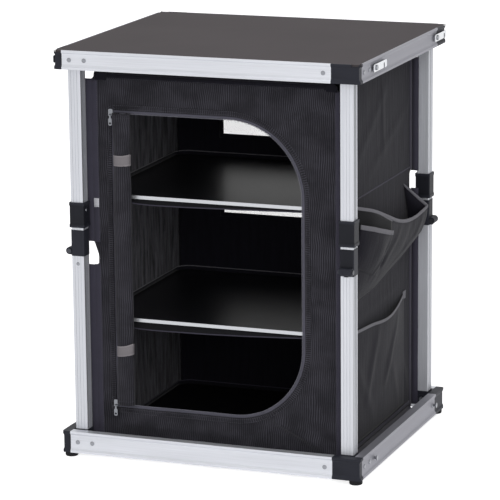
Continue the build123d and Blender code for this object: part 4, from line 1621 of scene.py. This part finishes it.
class CUPBOARD_OT_pockets(bpy.types.Operator):
    """Sew the bellows pocket, the small pocket on it and the flat pocket to the right wall"""

    bl_idname = "cupboard.pockets"
    bl_label = "Side pockets"

    def execute(self, context):
        cloth = context.scene.cupboard_cloth
        length = cloth.stitch_length / MM
        thickness = cloth.thickness
        pocket, trim = "pocket cloth", "pocket trim"
        face = cloth_sheet("bellows_pocket", 66, 34, bellows_at, pocket, thickness)
        trims = []
        for end, name, top, pleat_depth in GUSSETS:
            place = gusset_place(end, top, pleat_depth)
            rim = rim_strip(place, 16, 7.0, 1.5, outward=(0, -1, 0.2))
            trims.append(cloth_sheet("bellows_gusset_" + name, 10, 24, place, pocket, thickness))
            trims.append(sewn("bellows_trim_" + name, trim, rim))
        trims.append(sewn("bellows_trim", trim, rim_strip(bellows_at, 70, 7.0, 1.6)))
        small = cloth_sheet("small_pocket", 40, 20, small_pocket_at, pocket, thickness)
        # Painted shade: a dark sheet behind the small pocket's mouth
        trims.append(
            cloth_sheet("small_pocket_mouth", 30, 6, mouth_shade_at, "lip cloth", thickness, 1.0)
        )
        rims = (rim_strip(small_pocket_at, 40, 9.0, 1.6), rim_strip(small_seam_at, 40, 2.4, 1.2))
        trims.append(sewn("small_pocket_trim", trim, *rims))
        flat = cloth_sheet("flat_pocket", 60, 34, flat_pocket_at, pocket, thickness)
        trims.append(sewn("flat_pocket_trim", trim, rim_strip(flat_pocket_at, 64, 6.0, 1.3)))
        patch = on_panel(FLAT_PATCH, at_right, strip_section(16.0, 1.2, 0.0, 1.5))
        trims.append(sewn("flat_pocket_patch", trim, patch))
        stitches = Batch()
        lower_seam = [(row[0], row[3] - 2.0) for row in BELLOWS]
        for path, lift in ((lower_seam, 1.4), *FLAT_STITCHES):
            stitch_row(stitches, path, at_right, length, 0, lift)
        trims.append(stitches.piece("pocket_stitching", "thread", smooth=False))
        for piece in [face, small, flat] + trims:
            set_in_place(piece, "base")
        for piece in (face, small, flat):
            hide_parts("side_pockets")
        return {"FINISHED"}


def tray_line(inset, low_y, high_y):
    """The line of a cloth edge round a board's left, rear and right sides."""
    corner = EDGE_CORNER
    x = HALF_X - 1.5 - inset
    y = high_y - inset
    line = [(-x, low_y)]
    left = [math.pi - math.pi / 2 * k / 8 for k in range(9)]
    right = [math.pi / 2 * (1 - k / 8) for k in range(9)]
    for middle, turns in ((-x + corner, left), (x - corner, right)):
        for turn in turns:
            line.append((middle + corner * math.cos(turn), y - corner + corner * math.sin(turn)))
    line.append((x, low_y))
    return line


def standing_edge(line, board_top):
    """A low standing wall of cloth round a board, and the bead that binds its top."""
    low = board_top - EDGE_SINK
    path = spaced(line, 6.0)
    normals = flat_normals(path, False)
    points = [(a, b, low) for a, b in path]
    across = [(n[0], n[1], 0.0) for n in normals]
    out = [(0.0, 0.0, 1.0)] * len(path)
    wall = sweep(points, across, out, strip_section(EDGE_THICKNESS, EDGE_RISE))
    bead = sweep([(a, b, low + EDGE_RISE) for a, b in path], across, out, round_section(1.0))
    return wall, bead


class CUPBOARD_OT_shelf_cloth(bpy.types.Operator):
    """Hang the cloth lips under the shelf fronts and stand the bound edges round the boards"""

    bl_idname = "cupboard.shelf_cloth"
    bl_label = "Shelf lips and bound edges"

    def execute(self, context):
        cloth = context.scene.cupboard_cloth
        for level in ("upper", "lower"):
            low, high = SHELF_BOXES[level]
            body = "shelf_" + level
            drops = LIP_DROPS[level]
            front = low[1]

            def lip(u, v, drops=drops, under=low[2] - 0.3, front=front):
                x = along_table(drops, u)
                drop = table_value(drops, x, 1)
                ripple = 0.8 * soft(x, 0, 0.03, 13.0) * v
                y = front + 3.0 - 2.2 * math.sin(math.pi * v * 0.5) + ripple
                return (x, y, under - drop * v)

            columns = 90
            piece = cloth_sheet(
                "shelf_lip_" + level, columns, 6, lip, "lip cloth", cloth.thickness
            )
            low_edge = [lip(k / (columns - 1), 1.0) for k in range(columns)]
            across, out = [(0, 0, 1)] * columns, [(0, -1, 0)] * columns
            binding = sweep(low_edge, across, out, strip_section(2.6, 1.8, 0.4, -0.9))
            edge = sewn("shelf_lip_binding_" + level, "edge band", binding)
            line = tray_line(SHELF_EDGE_INSET, front + 6.0, high[1])
            wall, bead = standing_edge(line, high[2])
            wall = sewn("shelf_edge_" + level, "side cloth", wall)
            bead = sewn("shelf_edge_bead_" + level, "pocket trim", bead)
            for trim, anchor in ((piece, low), (edge, low), (wall, high), (bead, high)):
                set_in_place(trim, body, anchor=anchor[2])
        line = tray_line(FLOOR_EDGE_INSET, FLOOR_EDGE_FRONT, HALF_Y - 1.5)
        wall, bead = standing_edge(line, FLOOR_TOP)
        for trim in (
            sewn("floor_edge", "side cloth", wall), sewn("floor_edge_bead", "edge band", bead),
        ):
            set_in_place(trim, "base", anchor=FLOOR_TOP)
        return {"FINISHED"}


class CUPBOARD_OT_small_fittings(bpy.types.Operator):
    """Set the rivets in the sleeves and left legs, and the webbing tie at the front left"""

    bl_idname = "cupboard.small_fittings"
    bl_label = "Rivets and tie"

    def execute(self, context):
        for leg in LEGS:
            low, high = low_high("lock_sleeve_" + leg)
            x, y = (low[0] + high[0]) / 2, (low[1] + high[1]) / 2
            sx, sy = math.copysign(1, x), math.copysign(1, y)
            inner_x = low[0] if sx > 0 else high[0]
            head = (inner_x + RIVET_SINK * sx, y - 2.0, low[2] + RIVET_ON_SLEEVE)
            rivet = sewn("sleeve_rivets_" + leg, "steel", lathe(RIVET_PROFILE, head, (-sx, 0, 0)))
            set_in_place(rivet, "lock_sleeve_" + leg, folds=False)
            if sx > 0:
                continue
            low, high = low_high("lower_leg_" + leg)
            outer_y = low[1] if sy < 0 else high[1]
            head = ((low[0] + high[0]) / 2, outer_y, high[2] - RIVET_BELOW_KNEE)
            rivet = sewn("tube_rivets_" + leg, "steel", lathe(RIVET_PROFILE, head, (0, sy, 0)))
            set_in_place(rivet, "lower_leg_" + leg, folds=False)
        section = strip_section(10.0, 1.4, 0.0, 1.2)
        tie = sewn("knee_tie", "tie webbing", on_panel(KNEE_TIE, at_front, section, pitch=4.0))
        set_in_place(tie, "base")
        return {"FINISHED"}


class CUPBOARD_OT_stage(bpy.types.Operator):
    """Lay the pale floor, hang the soft lights and set up the camera"""

    bl_idname = "cupboard.stage"
    bl_label = "Floor, light and camera"

    def execute(self, context):
        stage = context.scene.cupboard_stage
        context.scene.view_settings.view_transform = "Standard"
        self.lay_floor(context.scene, stage)
        self.light_room(context.scene, stage)
        self.set_camera(context.scene)
        return {"FINISHED"}

    def lay_floor(self, scene, stage):
        """A wide pale floor that melts into the background."""
        r = stage.floor_radius
        mesh = bpy.data.meshes.new("floor")
        mesh.from_pydata([(-r, -r, 0), (r, -r, 0), (r, r, 0), (-r, r, 0)], [], [(0, 1, 2, 3)])
        floor = bpy.data.objects.new("floor", mesh)
        scene.collection.objects.link(floor)
        finish = Finish("pale floor", stage.floor_colour, 0.9)
        cloud = finish.noise(finish.place(), 1.5, 3.0)
        finish.set("Base Color", finish.shaded(finish.range(cloud, 0.3, 0.7), 0.985, 1.0))
        path = finish.node("ShaderNodeLightPath").outputs
        seen = finish.math("MAXIMUM", path["Is Camera Ray"], path["Is Glossy Ray"])
        seen = finish.math("MAXIMUM", seen, path["Is Transmission Ray"])
        glow = finish.node("ShaderNodeEmission", {"Strength": finish.math("MULTIPLY", seen, 0.8)})
        added = finish.node(
            "ShaderNodeAddShader", {0: finish.shader.outputs[0], 1: glow.outputs[0]}
        )
        output = finish.tree.nodes["Material Output"]
        finish.tree.links.new(added.outputs[0], output.inputs["Surface"])
        mesh.materials.append(finish.material)

    def light_room(self, scene, stage):
        """Even light from all sides with a white background, and two soft lights."""
        world = bpy.data.worlds.new("soft room")
        world.use_nodes = True
        scene.world = world
        nodes, links = world.node_tree.nodes, world.node_tree.links
        back = nodes["Background"]
        back.inputs["Color"].default_value = (1.0, 1.0, 1.0, 1.0)
        path = nodes.new("ShaderNodeLightPath")
        level = nodes.new("ShaderNodeMapRange")
        level.inputs["To Min"].default_value = stage.room_light
        level.inputs["To Max"].default_value = 1.0
        joined = path.outputs["Is Camera Ray"]
        for kind in ("Is Glossy Ray", "Is Transmission Ray"):
            either = nodes.new("ShaderNodeMath")
            either.operation = "MAXIMUM"
            links.new(joined, either.inputs[0])
            links.new(path.outputs[kind], either.inputs[1])
            joined = either.outputs[0]
        links.new(joined, level.inputs["Value"])
        links.new(level.outputs[0], back.inputs["Strength"])
        for name, place, size, power in (
            ("key light", KEY_LIGHT_PLACE, KEY_LIGHT_SIZE, stage.key_power),
            ("top light", TOP_LIGHT_PLACE, TOP_LIGHT_SIZE, stage.top_power),
        ):
            light = bpy.data.lights.new(name, "AREA")
            light.size = size
            light.energy = power
            lamp = bpy.data.objects.new(name, light)
            lamp.location = place
            aim = Vector(LIGHT_AIM) - Vector(place)
            lamp.rotation_euler = aim.to_track_quat("-Z", "Y").to_euler()
            scene.collection.objects.link(lamp)

    def set_camera(self, scene):
        """The camera, standing in front of the right front corner and a little above the top."""
        camera = bpy.data.cameras.new("camera")
        camera.sensor_width = CAMERA_SENSOR
        camera.lens = CAMERA_FOCAL * CAMERA_SENSOR
        camera.clip_end = 100.0
        azimuth, elevation, roll = (
            math.radians(angle) for angle in (CAMERA_AZIMUTH, CAMERA_ELEVATION, CAMERA_ROLL)
        )
        back = Vector((
            math.sin(azimuth) * math.cos(elevation), -math.cos(azimuth) * math.cos(elevation),
            math.sin(elevation),
        ))
        right = Vector((math.cos(azimuth), math.sin(azimuth), 0.0))
        up = back.cross(right)
        x_axis = right * math.cos(roll) + up * math.sin(roll)
        y_axis = -right * math.sin(roll) + up * math.cos(roll)
        turn = Matrix((x_axis, y_axis, back)).transposed()
        eye = bpy.data.objects.new("camera", camera)
        eye.matrix_world = Matrix.Translation(CAMERA_PLACE) @ turn.to_4x4()
        scene.collection.objects.link(eye)
        scene.camera = eye


class CUPBOARD_PT_panel(bpy.types.Panel):
    """Lists the cupboard's sizes, colours and pieces"""

    bl_idname = "CUPBOARD_PT_panel"
    bl_label = "Camping Cupboard"
    bl_space_type = "VIEW_3D"
    bl_region_type = "UI"
    bl_category = "Cupboard"

    def draw(self, context):
        layout = self.layout
        for group in ("cupboard_cloth", "cupboard_metal", "cupboard_roll", "cupboard_stage"):
            box = layout.box()
            settings = getattr(context.scene, group)
            for key in settings.__annotations__:
                box.prop(settings, key)
        for operator in OPERATORS:
            layout.operator(operator.bl_idname)


OPERATORS = (
    CUPBOARD_OT_stage,
    CUPBOARD_OT_metalwork,
    CUPBOARD_OT_front_panel,
    CUPBOARD_OT_side_panels,
    CUPBOARD_OT_back_panel,
    CUPBOARD_OT_door_roll,
    CUPBOARD_OT_pockets,
    CUPBOARD_OT_shelf_cloth,
    CUPBOARD_OT_small_fittings,
)
GROUPS = {
    "cupboard_cloth": CUPBOARD_PG_cloth,
    "cupboard_metal": CUPBOARD_PG_metal,
    "cupboard_roll": CUPBOARD_PG_roll,
    "cupboard_stage": CUPBOARD_PG_stage,
}
CLASSES = (*GROUPS.values(), *OPERATORS, CUPBOARD_PT_panel)


def register():
    for item in CLASSES:
        bpy.utils.register_class(item)
    for name, group in GROUPS.items():
        setattr(bpy.types.Scene, name, PointerProperty(type=group))


def unregister():
    for name in GROUPS:
        delattr(bpy.types.Scene, name)
    for item in reversed(CLASSES):
        bpy.utils.unregister_class(item)


def main():
    register()
    for operator in OPERATORS:
        group, name = operator.bl_idname.split(".")
        getattr(getattr(bpy.ops, group), name)()


if __name__ == "__main__":
    main()
